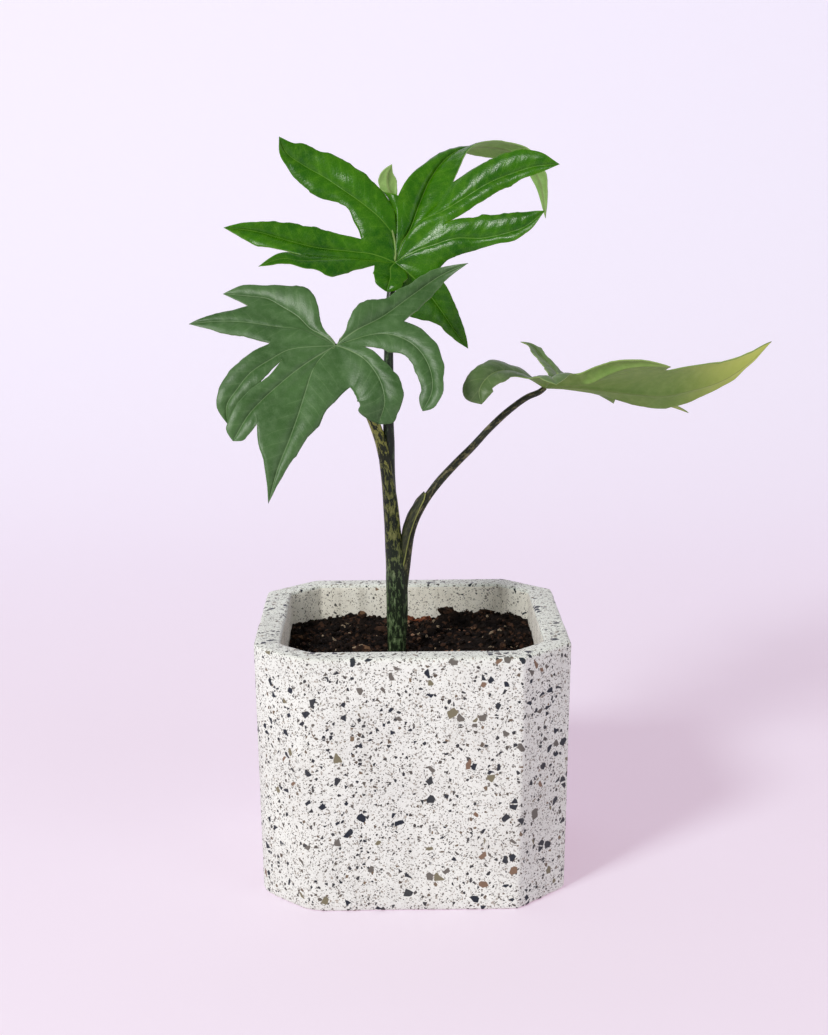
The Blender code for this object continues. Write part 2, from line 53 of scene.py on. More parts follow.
class Field:
    """A value that changes over a surface, read from a shader socket, with plain arithmetic."""

    def __init__(self, socket):
        self.socket = socket

    def maths(self, operation, *others, swap=False):
        tree = self.socket.id_data
        made = tree.nodes.new("ShaderNodeMath")
        made.operation = operation
        order = [self, *others]
        if swap:
            order.reverse()
        for place, item in enumerate(order):
            if isinstance(item, Field):
                tree.links.new(item.socket, made.inputs[place])
            else:
                made.inputs[place].default_value = item
        return Field(made.outputs[0])

    def __add__(self, other):
        return self.maths("ADD", other)

    __radd__ = __add__

    def __mul__(self, other):
        return self.maths("MULTIPLY", other)

    __rmul__ = __mul__

    def __sub__(self, other):
        return self.maths("SUBTRACT", other)

    def __rsub__(self, other):
        return self.maths("SUBTRACT", other, swap=True)

    def __truediv__(self, other):
        return self.maths("DIVIDE", other)

    def __gt__(self, other):
        return self.maths("GREATER_THAN", other)

    def __lt__(self, other):
        return self.maths("LESS_THAN", other)

    def above(self, low, high):
        """0 below low, 1 above high, and smooth between; high may be the smaller one."""
        tree = self.socket.id_data
        made = tree.nodes.new("ShaderNodeMapRange")
        made.interpolation_type = "SMOOTHSTEP"
        tree.links.new(self.socket, made.inputs["Value"])
        for name, value in (("From Min", low), ("From Max", high), ("To Min", 0.0), ("To Max", 1.0)):
            if isinstance(value, Field):
                tree.links.new(value.socket, made.inputs[name])
            else:
                made.inputs[name].default_value = value
        return Field(made.outputs[0])


class Finish:
    """A material under construction."""

    def __init__(self, name, **constants):
        self.material = bpy.data.materials.new(name)
        self.material.use_nodes = True
        self.tree = self.material.node_tree
        self.shader = self.tree.nodes["Principled BSDF"]
        for socket, value in constants.items():
            self.shader.inputs[socket.replace("_", " ")].default_value = value

    def node(self, kind, settings=(), sockets=(), out=0):
        """Any node: its settings first, then the values or links of its sockets."""
        made = self.tree.nodes.new(kind)
        for name, value in dict(settings).items():
            setattr(made, name, value)
        for name, value in dict(sockets).items():
            if isinstance(value, Field):
                self.tree.links.new(value.socket, made.inputs[name])
            else:
                made.inputs[name].default_value = value
        return Field(made.outputs[out])

    def place(self):
        return self.node("ShaderNodeTexCoord", out="Object")

    def noise(self, scale, detail=3.0, rough=0.55, vector=None, out=0):
        return self.node("ShaderNodeTexNoise", sockets={
            "Vector": vector or self.place(), "Scale": scale, "Detail": detail, "Roughness": rough}, out=out)

    def cells(self, scale, place, out=0, **settings):
        sockets = {"Vector": place, "Scale": scale, "Randomness": 1.0}
        return self.node("ShaderNodeTexVoronoi", settings, sockets, out=out)

    def reading(self, title, out=2):
        """What the mesh says at each point under that title: a number, or a vector from out 1."""
        return self.node("ShaderNodeAttribute", {"attribute_name": title}, out=out)

    def mix(self, mask, low, high):
        """Colour low where the mask is 0, high where it is 1."""
        return self.node("ShaderNodeMix", {"data_type": "RGBA"}, {0: mask, 6: low, 7: high}, out=2)

    def vector(self, operation, first, second=None, scale=None):
        other = {1: second} if scale is None else {"Scale": scale}
        return self.node("ShaderNodeVectorMath", {"operation": operation}, {0: first, **other})

    def stirred(self, place, wander, amount):
        """The place pushed about by a noise's colour, up to half the amount each way."""
        off = self.vector("SUBTRACT", wander, (0.5, 0.5, 0.5))
        return self.vector("ADD", place, self.vector("SCALE", off, scale=amount))

    def feed(self, socket, field):
        self.tree.links.new(field.socket, self.shader.inputs[socket])

    def relief(self, height, depth_mm):
        return self.node("ShaderNodeBump",
                         sockets={"Height": height, "Distance": depth_mm * MM, "Strength": 1.0})


def srgb(*shades):
    """Screen colour 0-255 as a linear colour."""
    return (*(((c / 255 + 0.055) / 1.055) ** 2.4 if c > 10 else c / 3294 for c in shades), 1.0)


POT_HALF = 70.0
POT_HEIGHT = 116.0
POT_LEAN = 1.8
POT_WALL = 12.0
POT_FLOOR = 12.0
CORNER_OUTER = 22.5
CORNER_INNER = 14.0
# how far each of the eight upright edges is rubbed round, from the front right edge anticlockwise
EDGE_RADII = (1.6, 1.6, 2.2, 2.2, 2.2, 3.0, 7.0, 8.0)
POINTS_PER_SIDE = 12
POINTS_PER_EDGE = 5


def tub_outline(half, corner, z, soften=1.0):
    """Square outline with cut corners whose own edges are rounded, as evenly numbered points."""
    cut = half - corner
    spots = np.array([(cut, -half), (half, -cut), (half, cut), (cut, half),
                      (-cut, half), (-half, cut), (-half, -cut), (-cut, -half)])
    outline = []
    for index, spot in enumerate(spots):
        following = (index + 1) % len(spots)
        before = spots[index - 1] - spot
        after = spots[following] - spot
        before = before / np.linalg.norm(before)
        after = after / np.linalg.norm(after)
        reach = EDGE_RADII[index] * soften
        for step in range(POINTS_PER_EDGE):
            t = step / (POINTS_PER_EDGE - 1)
            bend = (1 - t) ** 2 * (spot + before * reach) + 2 * t * (1 - t) * spot
            outline.append((*(bend + t * t * (spot + after * reach)), z))
        start = spot + after * reach
        end = spots[following] - after * EDGE_RADII[following] * soften
        for step in range(1, POINTS_PER_SIDE):
            outline.append((*(start + (end - start) * step / POINTS_PER_SIDE), z))
    return outline


def mesh_from(name, points, faces, smooth=True):
    """A piece from points in millimetres."""
    mesh = bpy.data.meshes.new(name)
    mesh.from_pydata((np.asarray(points, float) * MM).tolist(), [], faces)
    mesh.validate()
    for polygon in mesh.polygons:
        polygon.use_smooth = smooth
    piece = bpy.data.objects.new(name, mesh)
    bpy.context.scene.collection.objects.link(piece)
    return piece


def bridge(rings):
    """Faces of a closed skin through rings of equal length, with a face over each end."""
    count = len(rings[0])
    faces = []
    for ring in range(len(rings) - 1):
        for side in range(count):
            after = (side + 1) % count
            faces.append((ring * count + side, ring * count + after, (ring + 1) * count + after,
                          (ring + 1) * count + side))
    faces.append(tuple(reversed(range(count))))
    faces.append(tuple(range((len(rings) - 1) * count, len(rings) * count)))
    return faces


# the wall's section from under the tub, up the outside, over the rim and down inside: how far in, how high,
# and how much the edge there is worn
wall_section = [(4.0, 0.0, 0.0), (1.4, 0.05, 0.3), (0.5, 0.4, 0.6), (0.05, 1.3, 0.4)]
wall_section += [(0.0, z, 0.0) for z in np.linspace(5.0, POT_HEIGHT - 5.0, 22)]
for inset, below_rim, worn in [(0.02, 1.6, 0.3), (0.2, 0.8, 0.7), (0.6, 0.25, 0.8), (1.3, 0.02, 0.4),
                               (3.5, 0.0, 0.0), (6.0, 0.0, 0.0), (8.5, 0.0, 0.0), (10.8, 0.02, 0.3),
                               (11.5, 0.35, 0.7), (11.9, 1.2, 0.5), (POT_WALL, 3.0, 0.0)]:
    wall_section.append((inset, POT_HEIGHT - below_rim, worn))
wall_section += [(POT_WALL, z, 0.0) for z in np.linspace(POT_HEIGHT - 6.0, POT_FLOOR + 1.0, 12)]
tub_rings = []
for inset, z, worn in wall_section:
    through = inset / POT_WALL
    lean = POT_LEAN * (1 - z / POT_HEIGHT) * (1 - through)
    corner = CORNER_OUTER + (CORNER_INNER - CORNER_OUTER) * through
    ring = []
    for x, y, height in tub_outline(POT_HALF - inset - lean, corner, z, 1 - 0.5 * through):
        spot = Vector((x, y, height))
        outward = Vector((x, y, 0.0)).normalized()
        chipped = min(noise.noise(spot * 0.35 + Vector((9, 3, 5))), 0.1) * 0.9
        rub = noise.noise(spot * 0.16) * 0.10 + worn * chipped
        dip = min(0.0, noise.noise(spot * 0.5 + Vector((4, 8, 1)))) * worn * 0.5
        side = 1.0 if inset < 6.0 else -1.0
        ring.append((x + outward.x * (rub - 0.1) * side, y + outward.y * (rub - 0.1) * side,
                     max(height + dip, 0.0) if inset < 2.0 or worn else height))
    tub_rings.append(ring)
tub_points = [point for ring in tub_rings for point in ring]
planter = mesh_from("planter", tub_points, bridge(tub_rings))


# the tones of the grains, each from the place in its row where it begins
CHIP_TONES = {
    "dust": [(0.0, srgb(58, 57, 57)), (0.35, srgb(122, 117, 110)), (0.7, srgb(180, 172, 160)),
             (1.0, srgb(80, 81, 85))],
    "dark": [(0.0, srgb(34, 38, 46)), (0.45, srgb(52, 55, 60)), (0.68, srgb(96, 90, 82)),
             (0.84, srgb(122, 104, 84)), (1.0, srgb(28, 34, 44))],
    "stone": [(0.0, srgb(24, 34, 48)), (0.58, srgb(34, 42, 50)), (0.66, srgb(128, 102, 82)),
              (0.76, srgb(122, 116, 92)), (0.86, srgb(104, 100, 94)), (1.0, srgb(140, 116, 88))]}


def terrazzo(name, cement, cement_dark, chip_share, speck_share, warmth):
    """Cement with chips of slate, brown and olive stone in four sizes and a dusting of tiny pits."""
    made = Finish(name, Specular_IOR_Level=0.2)
    place = made.place()
    stirred = made.stirred(place, made.noise(260.0, 2.0, 0.5, place, out=1), 0.9 * MM)
    cloud = made.noise(38.0, 4.0, 0.6, place)
    grain = made.noise(1500.0, 2.0, 0.7, place)
    colour = made.mix(cloud.above(0.3, 0.7), cement_dark, cement)
    colour = made.mix(grain.above(0.5, 0.66) * 0.22, colour, srgb(150, 143, 134))
    colour = made.mix(grain.above(0.42, 0.3) * 0.5, colour, srgb(240, 238, 234))
    chips_mask = None
    # how far apart the grains lie (mm), share of them that are coloured stone, and their tones
    for spacing, share, tones in ((0.55, 0.40 * speck_share, "dust"), (0.95, 0.22 * speck_share, "dust"),
                                  (1.55, 0.19 * chip_share, "dark"), (3.3, 0.17 * chip_share, "stone")):
        to_edge = made.cells(1000.0 / spacing, stirred, feature="DISTANCE_TO_EDGE")
        tone = made.cells(1000.0 / spacing, stirred, out=1)
        split = made.node("ShaderNodeSeparateColor", {}, {0: tone})
        size_dice, tone_dice = (Field(split.socket.node.outputs[spare]) for spare in (1, 2))
        mask = (to_edge - (size_dice * 0.16 + 0.05)).above(-0.03, 0.03) * (split < share)
        ramp = made.node("ShaderNodeValToRGB", {}, {"Fac": tone_dice})
        bar = ramp.socket.node.color_ramp
        bar.interpolation = "CONSTANT" if tones == "stone" else "LINEAR"
        for number, (spot, shade) in enumerate(CHIP_TONES[tones]):
            element = bar.elements[number] if number < 2 else bar.elements.new(spot)
            element.position = spot
            element.color = shade
        shade = made.mix(made.noise(420.0, 3.0, 0.6, place) * 0.07, ramp, srgb(150, 146, 138))
        colour = made.mix(mask, colour, shade)
        chips_mask = mask if chips_mask is None else chips_mask.maths("MAXIMUM", mask)
    pits = made.noise(900.0, 2.0, 0.6, place).above(0.66, 0.72) * (1 - chips_mask)
    colour = made.mix(pits * 0.25, colour, srgb(96, 92, 88))
    stain = made.noise(14.0, 3.0, 0.6, place).above(0.45, 0.8)
    colour = made.mix(stain * warmth, colour, srgb(196, 186, 170))
    streaks = made.noise(170.0, 3.0, 0.65, made.vector("MULTIPLY", place, (1.0, 1.0, 0.08)))
    colour = made.mix(streaks.above(0.48, 0.7) * warmth, colour, srgb(150, 142, 126))
    made.feed("Base Color", colour)
    made.feed("Roughness", 0.7 - chips_mask * 0.28 + grain * 0.08)
    height = grain * 0.25 - pits * 1.6 - chips_mask * 0.25 + cloud * 0.4
    made.feed("Normal", made.relief(height, 0.12))
    return made.material


planter.data.materials.append(
    terrazzo("ground terrazzo", srgb(240, 243, 236), srgb(229, 231, 225), 0.66, 0.62, 0.08))
# the inside face's cement is whiter than the outside's: painted light on the inner wall, which the rim and
# leaves shade
planter.data.materials.append(
    terrazzo("cast inside face painted lighter", srgb(255, 252, 242), srgb(244, 239, 226), 0.06, 0.36, 0.30))
inside_from = sum(inset < POT_WALL - 0.4 for inset, z, worn in wall_section) * len(tub_rings[0])
for polygon in planter.data.polygons:
    if polygon.index >= inside_from:
        polygon.material_index = 1
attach(planter, "root")
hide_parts("pot")


# ---------------------------------------------------------------- potting soil
# A damp mix of peat, composted bark and grit, filled to a finger's width under the rim and left lumpy.  Its
# surface climbs a little towards the back right, and loose crumbs, bark chips and grit lie on it.

SOIL_GAP = 0.3
SOIL_HALF = POT_HALF - POT_WALL - SOIL_GAP
SOIL_LEVEL = 98.6
SOIL_GRID = 0.8
STEM_FOOT = (-6.3, 2.0)
CLEAR_OF_STEM = 5.5


def soil_height(x, y):
    """Heaps a few centimetres across, with crumbs of two sizes on them."""
    heap = noise.noise(Vector((x * 0.035 + 3.1, y * 0.035 + 1.7, 0.4))) * 3.4
    lump = noise.noise(Vector((x * 0.13, y * 0.13, 2.0))) * 1.8
    crumb = abs(noise.noise(Vector((x * 0.38, y * 0.38, 5.0)))) * 2.4
    grit = abs(noise.noise(Vector((x * 0.9, y * 0.9, 9.0)))) * 0.8
    hump = 5.5 * math.exp(-(((x - 26) / 24) ** 2 + ((y - 44) / 13) ** 2))
    hump += 3.0 * math.exp(-(((x + 30) / 20) ** 2 + ((y - 46) / 12) ** 2))
    sink = -3.4 * math.exp(-(((x - 6) / 9) ** 2 + ((y - 50) / 14) ** 2))
    return SOIL_LEVEL + heap + lump + crumb + grit + hump + sink + 0.02 * x - 0.01 * y


def inside_tub(x, y, half):
    return max(abs(x), abs(y)) < half and abs(x) + abs(y) < 2 * half - CORNER_INNER


def in_tub(across, deep, half):
    """A place in the unit square drawn in to the tub's cut-cornered outline."""
    reach = max(abs(across), abs(deep), 1e-6)
    squeeze = min(1.0, (2 - CORNER_INNER / half) * reach / max(abs(across) + abs(deep), 1e-6))
    return across * half * squeeze, deep * half * squeeze


soil_steps = int(2 * SOIL_HALF / SOIL_GRID)
soil_points, soil_faces = [], []
for i in range(soil_steps + 1):
    for j in range(soil_steps + 1):
        x, y = in_tub(2 * i / soil_steps - 1, 2 * j / soil_steps - 1, SOIL_HALF)
        soil_points.append((x, y, soil_height(x, y)))
row_length = soil_steps + 1
for i in range(soil_steps):
    for j in range(soil_steps):
        corner = i * row_length + j
        soil_faces.append((corner, corner + row_length, corner + row_length + 1, corner + 1))
soil_edge = [i * row_length for i in range(soil_steps)]
soil_edge += [soil_steps * row_length + j for j in range(soil_steps)]
soil_edge += [i * row_length + soil_steps for i in range(soil_steps, 0, -1)]
soil_edge += [j for j in range(soil_steps, 0, -1)]
soil_under = len(soil_points)
soil_points += [(*soil_points[spot][:2], POT_FLOOR + SOIL_GAP) for spot in soil_edge]
for step, spot in enumerate(soil_edge):
    after = (step + 1) % len(soil_edge)
    soil_faces.append((spot, soil_under + step, soil_under + after, soil_edge[after]))
soil_faces.append(tuple(range(soil_under + len(soil_edge) - 1, soil_under - 1, -1)))
soil_bed = mesh_from("soil_bed", soil_points, soil_faces)


def peat(name, dark, brown, bits):
    """Near-black peat with rusty crumbs and pale grit showing through."""
    made = Finish(name, Specular_IOR_Level=0.12)
    place = made.place()
    blot = made.noise(160.0, 5.0, 0.65, place)
    fibre = made.noise(900.0, 3.0, 0.7, place)
    crumbs = made.cells(520.0, place)
    split = made.node("ShaderNodeSeparateColor", {}, {0: made.cells(520.0, place, out=1)})
    colour = made.mix(blot.above(0.38, 0.66), dark, brown)
    colour = made.mix((split > 0.86) * 0.75, colour, bits)
    colour = made.mix((split < 0.012) * fibre.above(0.3, 0.5) * 0.8, colour, srgb(170, 150, 126))
    colour = made.mix(fibre.above(0.55, 0.75) * 0.4, colour, srgb(14, 10, 9))
    made.feed("Base Color", colour)
    made.feed("Roughness", 0.98 - fibre.above(0.6, 0.8) * 0.25)
    made.feed("Normal", made.relief(fibre * 0.7 + blot - crumbs * 0.8, 0.9))
    return made.material


damp_peat = peat("damp peat", srgb(15, 11, 10), srgb(35, 26, 21), srgb(72, 50, 38))
soil_bed.data.materials.append(damp_peat)
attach(soil_bed, "root")
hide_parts("soil")


def lump(dice, size, squash, sides=7, rings=4):
    """A rough closed nugget as points and faces: its half size in mm, and how that is squashed each way."""
    points = [(0.0, 0.0, -1.0)]
    for ring in range(1, rings):
        tilt = math.pi * ring / rings
        for side in range(sides):
            turn = 2 * math.pi * (side + 0.5 * (ring % 2)) / sides
            points.append((math.sin(tilt) * math.cos(turn), math.sin(tilt) * math.sin(turn), -math.cos(tilt)))
    points.append((0.0, 0.0, 1.0))
    rough = np.array([[c * (0.72 + 0.5 * dice.random()) for c in point] for point in points])
    rough *= np.array(squash) * size
    turn = Vector((dice.random() - 0.5, dice.random() - 0.5, dice.random() - 0.5)).normalized()
    spin = turn.to_track_quat("Z", "Y").to_matrix()
    rough = rough @ np.array(spin).T
    faces = [(0, 1 + (side + 1) % sides, 1 + side) for side in range(sides)]
    for ring in range(rings - 2):
        base = 1 + ring * sides
        for side in range(sides):
            after = (side + 1) % sides
            faces.append((base + side, base + after, base + sides + after, base + sides + side))
    top = len(points) - 1
    base = 1 + (rings - 2) * sides
    faces += [(base + side, base + (side + 1) % sides, top) for side in range(sides)]
    return rough, faces


def scatter(name, finish, seed, count, sizes, squash, rise, near=None):
    """Loose bits strewn over the soil as one piece, or near a place given as (middle, spread) for x and y."""
    dice = random.Random(seed)
    points, faces = [], []
    while count:
        if near:
            x, y = (dice.gauss(middle, spread) for middle, spread in near)
        else:
            x, y = (dice.uniform(-SOIL_HALF, SOIL_HALF) for axis in range(2))
        size = sizes[0] + (sizes[1] - sizes[0]) * dice.random() ** 2.5
        if not inside_tub(x, y, SOIL_HALF - size) or math.dist((x, y), STEM_FOOT) < CLEAR_OF_STEM:
            continue
        shape, skin = lump(dice, size, squash)
        base = len(points)
        points += (shape + (x, y, soil_height(x, y) + size * rise)).tolist()
        faces += [tuple(base + corner for corner in face) for face in skin]
        count -= 1
    piece = mesh_from(name, points, faces, smooth=False)
    piece.data.materials.append(finish)
    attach(piece, "root")


composted = peat("composted bark", srgb(32, 23, 18), srgb(72, 50, 38), srgb(116, 88, 66))
pale_stone = peat("pale grit", srgb(120, 100, 82), srgb(168, 146, 122), srgb(204, 190, 170))
pink_stone = peat("pink grit", srgb(128, 92, 76), srgb(160, 122, 100), srgb(190, 158, 134))
red_bark = peat("red bark", srgb(74, 38, 26), srgb(122, 68, 46), srgb(148, 96, 70))
scatter("soil_crumbs", damp_peat, 11, 1900, (0.4, 2.0), (1.0, 0.9, 0.75), 0.25)
scatter("bark_bits", composted, 23, 70, (1.0, 3.4), (1.5, 0.8, 0.4), 0.35)
scatter("pale_grit", pale_stone, 31, 34, (0.4, 1.0), (1.0, 0.9, 0.8), 0.5)
scatter("grit_by_stem", pink_stone, 41, 18, (0.6, 1.3), (1.2, 0.9, 0.6), 0.45, near=((16, 10), (14, 16)))
scatter("back_bark", red_bark, 47, 4, (2.6, 4.2), (1.7, 0.8, 0.4), 0.35, near=((4, 5), (50, 2)))


# ---------------------------------------------------------------- stem and leaf stalks
# The short stem is the wrapped bases of the leaf stalks.  Each stalk is a smooth round rod that tapers to
# its blade, dark green and flecked lengthwise with yellow green, and the top leaf's stalk is nearly black.

def curve_through(knots, values, stations):
    """Smooth curve through the values at the knots, its slopes taken from the neighbours."""
    knots = np.asarray(knots, float)
    values = np.asarray(values, float)
    stations = np.atleast_1d(np.asarray(stations, float))
    step = np.diff(knots)
    shape = (-1, *[1] * (values.ndim - 1))
    rise = np.diff(values, axis=0) / step.reshape(shape)
    slopes = np.concatenate([rise[:1], rise])
    for knot in range(1, len(knots) - 1):
        before, after = step[knot - 1:knot + 1]
        slopes[knot] = (rise[knot - 1] * after + rise[knot] * before) / (before + after)
    place = np.clip(np.searchsorted(knots, stations, side="right") - 1, 0, len(step) - 1)
    t = ((stations - knots[place]) / step[place]).reshape(shape)
    span = step[place].reshape(shape)
    start = (1 + 2 * t) * (1 - t) ** 2 * values[place] + t * (1 - t) ** 2 * span * slopes[place]
    end = t * t * (3 - 2 * t) * values[place + 1] + t * t * (t - 1) * span * slopes[place + 1]
    return start + end


def unit(vectors):
    vectors = np.asarray(vectors, float)
    return vectors / np.maximum(np.linalg.norm(vectors, axis=-1, keepdims=True), 1e-9)


def path_knots(points):
    lengths = np.linalg.norm(np.diff(np.asarray(points, float), axis=0), axis=1)
    travelled = np.concatenate([[0.0], np.cumsum(lengths)])
    return travelled / travelled[-1]


def carry_frame(centres, start_normal):
    """Tangents along a path and a normal carried along it without twisting."""
    tangents = unit(np.gradient(centres, axis=0))
    normals = np.zeros_like(tangents)
    normal = np.asarray(start_normal, float)
    for row, tangent in enumerate(tangents):
        normal = unit(normal - tangent * np.dot(normal, tangent))
        normals[row] = normal
    return tangents, normals


def length_of(points):
    return np.linalg.norm(np.diff(points, axis=0), axis=1).sum()


def lay_skin(piece, places):
    """Each point's place on the stalk if it stood straight, which the fleck patterns read (mm)."""
    made = piece.data.attributes.new("skin_place", "FLOAT_VECTOR", "POINT")
    made.data.foreach_set("vector", np.array(places, np.float32).ravel())


STALK_SIDES = 26
# heights between which the stem's flecks turn to the colour of its foot
FOOT_TOP = 156.0
FOOT_FULL = 132.0


def stalk(name, stops, pitch, grooves, node, skin):
    """A stalk through the stops (x, y, z, radius) with slight swellings and with lengthwise grooves, each
    given by its bearing and width in degrees and its depth as a part of the radius."""
    stops = np.asarray(stops, float)
    knots = path_knots(stops[:, :3])
    length = length_of(stops[:, :3])
    rows = int(length / pitch) + 2
    curve = curve_through(knots, stops, np.linspace(0.0, 1.0, rows))
    tangents, normals = carry_frame(curve[:, :3], (0.0, -1.0, 0.05))
    rings, skin_places = [], []
    for row in range(rows):
        side = np.cross(tangents[row], normals[row])
        along = length * row / (rows - 1)
        ring = []
        for step in range(STALK_SIDES):
            turn = 2 * math.pi * step / STALK_SIDES
            swell = 1 + 0.05 * noise.noise(Vector((math.cos(turn), math.sin(turn), along * 0.08)))
            for bearing, width, depth in grooves:
                apart = math.degrees(turn) - bearing - 8 * math.sin(along * 0.05)
                swell -= depth * math.exp(-((((apart + 180) % 360 - 180) / width) ** 2))
            radius = curve[row, 3] * swell
            ring.append(curve[row, :3] + (normals[row] * math.cos(turn) + side * math.sin(turn)) * radius)
            skin_places.append((math.cos(turn) * curve[row, 3], math.sin(turn) * curve[row, 3], along))
        rings.append(ring)
    piece = mesh_from(name, np.array(rings).reshape(-1, 3), bridge(rings))
    lay_skin(piece, skin_places)
    piece.data.materials.append(skin)
    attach(piece, "root")
    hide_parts(node)


def stalk_skin(name, dark, fleck, pale, cover, gloss, foot=None):
    """Smooth dark skin with flecks drawn out along the stalk, greyer near the soil where a foot is given."""
    made = Finish(name, Specular_IOR_Level=0.32)
    place = made.reading("skin_place", out=1)
    if foot:
        height = made.node("ShaderNodeSeparateXYZ", {}, {0: made.place()}, out=2)
        low_down = height.above(FOOT_TOP * MM, FOOT_FULL * MM)
        fleck = made.mix(low_down, fleck, foot)
        pale = made.mix(low_down, pale, srgb(142, 154, 120))
    drawn_out = made.vector("MULTIPLY", place, (1.0, 1.0, 0.36))
    wavy = made.stirred(drawn_out, made.noise(0.5, 2.0, 0.5, place, out=1), 1.4)
    flecks = made.noise(0.72, 2.5, 0.6, wavy)
    patches = made.noise(0.12, 2.0, 0.5, place)
    fine = made.noise(3.2, 2.0, 0.6, drawn_out)
    edge = cover + (patches - 0.5) * -0.30
    colour = made.mix(flecks.above(edge, edge + 0.09), dark, fleck)
    colour = made.mix(flecks.above(edge + 0.1, edge + 0.26) * 0.8, colour, pale)
    colour = made.mix(fine.above(0.4, 0.75) * 0.3, colour, dark)
    made.feed("Base Color", colour)
    made.feed("Roughness", fine * 0.2 + (gloss - 0.08))
    made.feed("Normal", made.relief(fine * 0.6 + made.noise(1.2, 2.0, 0.5, drawn_out), 0.16))
    return made.material


stem_finish = stalk_skin("mottled stem skin", srgb(22, 33, 16), srgb(112, 118, 58), srgb(160, 160, 98),
                         0.475, 0.42, foot=srgb(84, 104, 68))
front_finish = stalk_skin("bright stalk skin", srgb(30, 38, 16), srgb(140, 142, 66), srgb(180, 180, 104),
                          0.45, 0.42)
dark_finish = stalk_skin("dark stalk skin", srgb(24, 36, 22), srgb(56, 76, 48), srgb(100, 118, 88),
                         0.55, 0.30)
right_finish = stalk_skin("olive stalk skin", srgb(36, 42, 24), srgb(98, 96, 62), srgb(156, 148, 114),
                          0.50, 0.38)

STEM = [(-6.5, 2.0, 84.0, 4.2), (-6.5, 2.0, 100.0, 4.3), (-6.4, 1.8, 112.0, 4.8), (-6.3, 1.6, 124.0, 5.0),
        (-6.6, 1.1, 136.0, 4.9), (-7.2, 1.0, 145.0, 4.4), (-7.9, 1.0, 153.0, 3.9), (-8.5, 1.1, 163.0, 3.6),
        (-9.2, 1.1, 171.0, 3.35), (-10.1, 1.1, 179.0, 3.0), (-11.4, 1.1, 189.0, 2.6),
        (-12.4, 1.0, 195.0, 2.3)]
FRONT_STALK = [(-9.9, 1.0, 178.0, 2.5), (-11.4, 1.0, 189.0, 2.62), (-13.0, 0.9, 197.0, 2.65),
               (-15.2, 0.0, 204.0, 2.55), (-18.2, -3.4, 212.0, 2.3), (-22.8, -9.4, 223.0, 2.0),
               (-29.8, -21.5, 238.5, 1.6), (-32.2, -27.0, 243.4, 1.4), (-32.1, -29.6, 244.8, 1.2)]
TOP_STALK = [(-8.0, 2.2, 164.0, 2.2), (-8.9, 2.6, 178.0, 2.4), (-9.3, 3.0, 189.0, 2.5),
             (-9.4, 3.0, 197.0, 2.55), (-9.6, 2.6, 205.0, 2.5), (-9.4, 4.0, 222.0, 2.3),
             (-9.2, 6.4, 240.0, 2.1), (-8.6, 10.2, 258.0, 1.9), (-7.2, 12.6, 270.0, 1.8),
             (-6.3, 11.4, 275.8, 1.6), (-5.9, 8.6, 277.7, 1.2)]
RIGHT_STALK = [(-4.6, 0.8, 118.0, 1.6), (-3.4, 0.6, 130.0, 2.1), (-2.2, 0.8, 139.0, 2.1),
               (-1.2, 1.0, 147.0, 2.0), (0.0, 0.9, 154.0, 1.9), (2.1, 0.5, 161.0, 1.9),
               (6.0, 0.0, 169.0, 1.9), (13.0, -0.7, 179.0, 1.9), (20.2, -1.2, 187.0, 1.8),
               (28.4, -1.8, 195.4, 1.7), (36.0, -2.4, 203.8, 1.6), (45.4, -3.0, 212.6, 1.5),
               (53.5, -3.5, 218.4, 1.4), (59.0, -3.8, 220.9, 1.3), (61.0, -3.9, 222.6, 1.2)]
stalk("stem", STEM, 0.8, [(48, 13, 0.10), (200, 16, 0.08)], "stem_base", stem_finish)
stalk("front_stalk", FRONT_STALK, 0.8, [], "petiole_front", front_finish)
stalk("top_stalk", TOP_STALK, 0.9, [(180, 25, 0.12)], "petiole_top", dark_finish)
stalk("right_stalk", RIGHT_STALK, 0.8, [(0, 20, 0.08)], "petiole_right", right_finish)


# ---------------------------------------------------------------- sheath
# The foot of the right stalk is a thin open gutter that once wrapped the next leaf.  Its wall stands a little
# off the stalk, closes to a blunt point above, and has a pale, dry edge.

# how far up the stalk (mm from its start), half the angle it covers, how far its middle stands off
SHEATH = [(18.0, 25.0, 0.1), (24.0, 50.0, 0.5), (31.0, 62.0, 1.2), (38.0, 66.0, 1.8), (45.0, 66.0, 1.9),
          (51.0, 60.0, 1.5), (55.5, 48.0, 1.0), (57.5, 26.0, 0.6)]
SHEATH_FACING = (-0.93, -0.36, 0.0)
SHEATH_THICKNESS = 0.5
SHEATH_ROWS = 60
SHEATH_ARC = 24

gutter_path = np.asarray(RIGHT_STALK, float)
gutter_knots = path_knots(gutter_path[:, :3])
gutter_table = np.asarray(SHEATH, float)
travel = np.linspace(gutter_table[0, 0], gutter_table[-1, 0], SHEATH_ROWS)
gutter = curve_through(gutter_knots, gutter_path, travel / length_of(gutter_path[:, :3]))
wrap, stand_off = curve_through(gutter_table[:, 0], gutter_table[:, 1:], travel).T
wrap = np.radians(wrap)
gutter_tangents, gutter_normals = carry_frame(gutter[:, :3], SHEATH_FACING)
sheath_rings, sheath_places, sheath_edges = [], [], []
for row in range(SHEATH_ROWS):
    side = np.cross(gutter_tangents[row], gutter_normals[row])
    arc = np.linspace(-1.0, 1.0, SHEATH_ARC)
    ring = []
    for thickness, order in ((SHEATH_THICKNESS, arc), (0.0, arc[::-1])):
        for part in order:
            turn = part * wrap[row]
            ripple = noise.noise(Vector((part * 2.0, travel[row] * 0.22, 3.0))) * 0.35
            radius = gutter[row, 3] + 0.1 + (stand_off[row] + ripple) * (1 - 0.55 * part * part) + thickness
            outward = gutter_normals[row] * math.cos(turn) + side * math.sin(turn)
            ring.append(gutter[row, :3] + outward * radius)
            sheath_places.append((math.cos(turn) * radius, math.sin(turn) * radius, travel[row]))
            sheath_edges.append((1 - abs(part)) * wrap[row] * radius)
    sheath_rings.append(ring)
sheath = mesh_from("sheath", np.array(sheath_rings).reshape(-1, 3), bridge(sheath_rings))
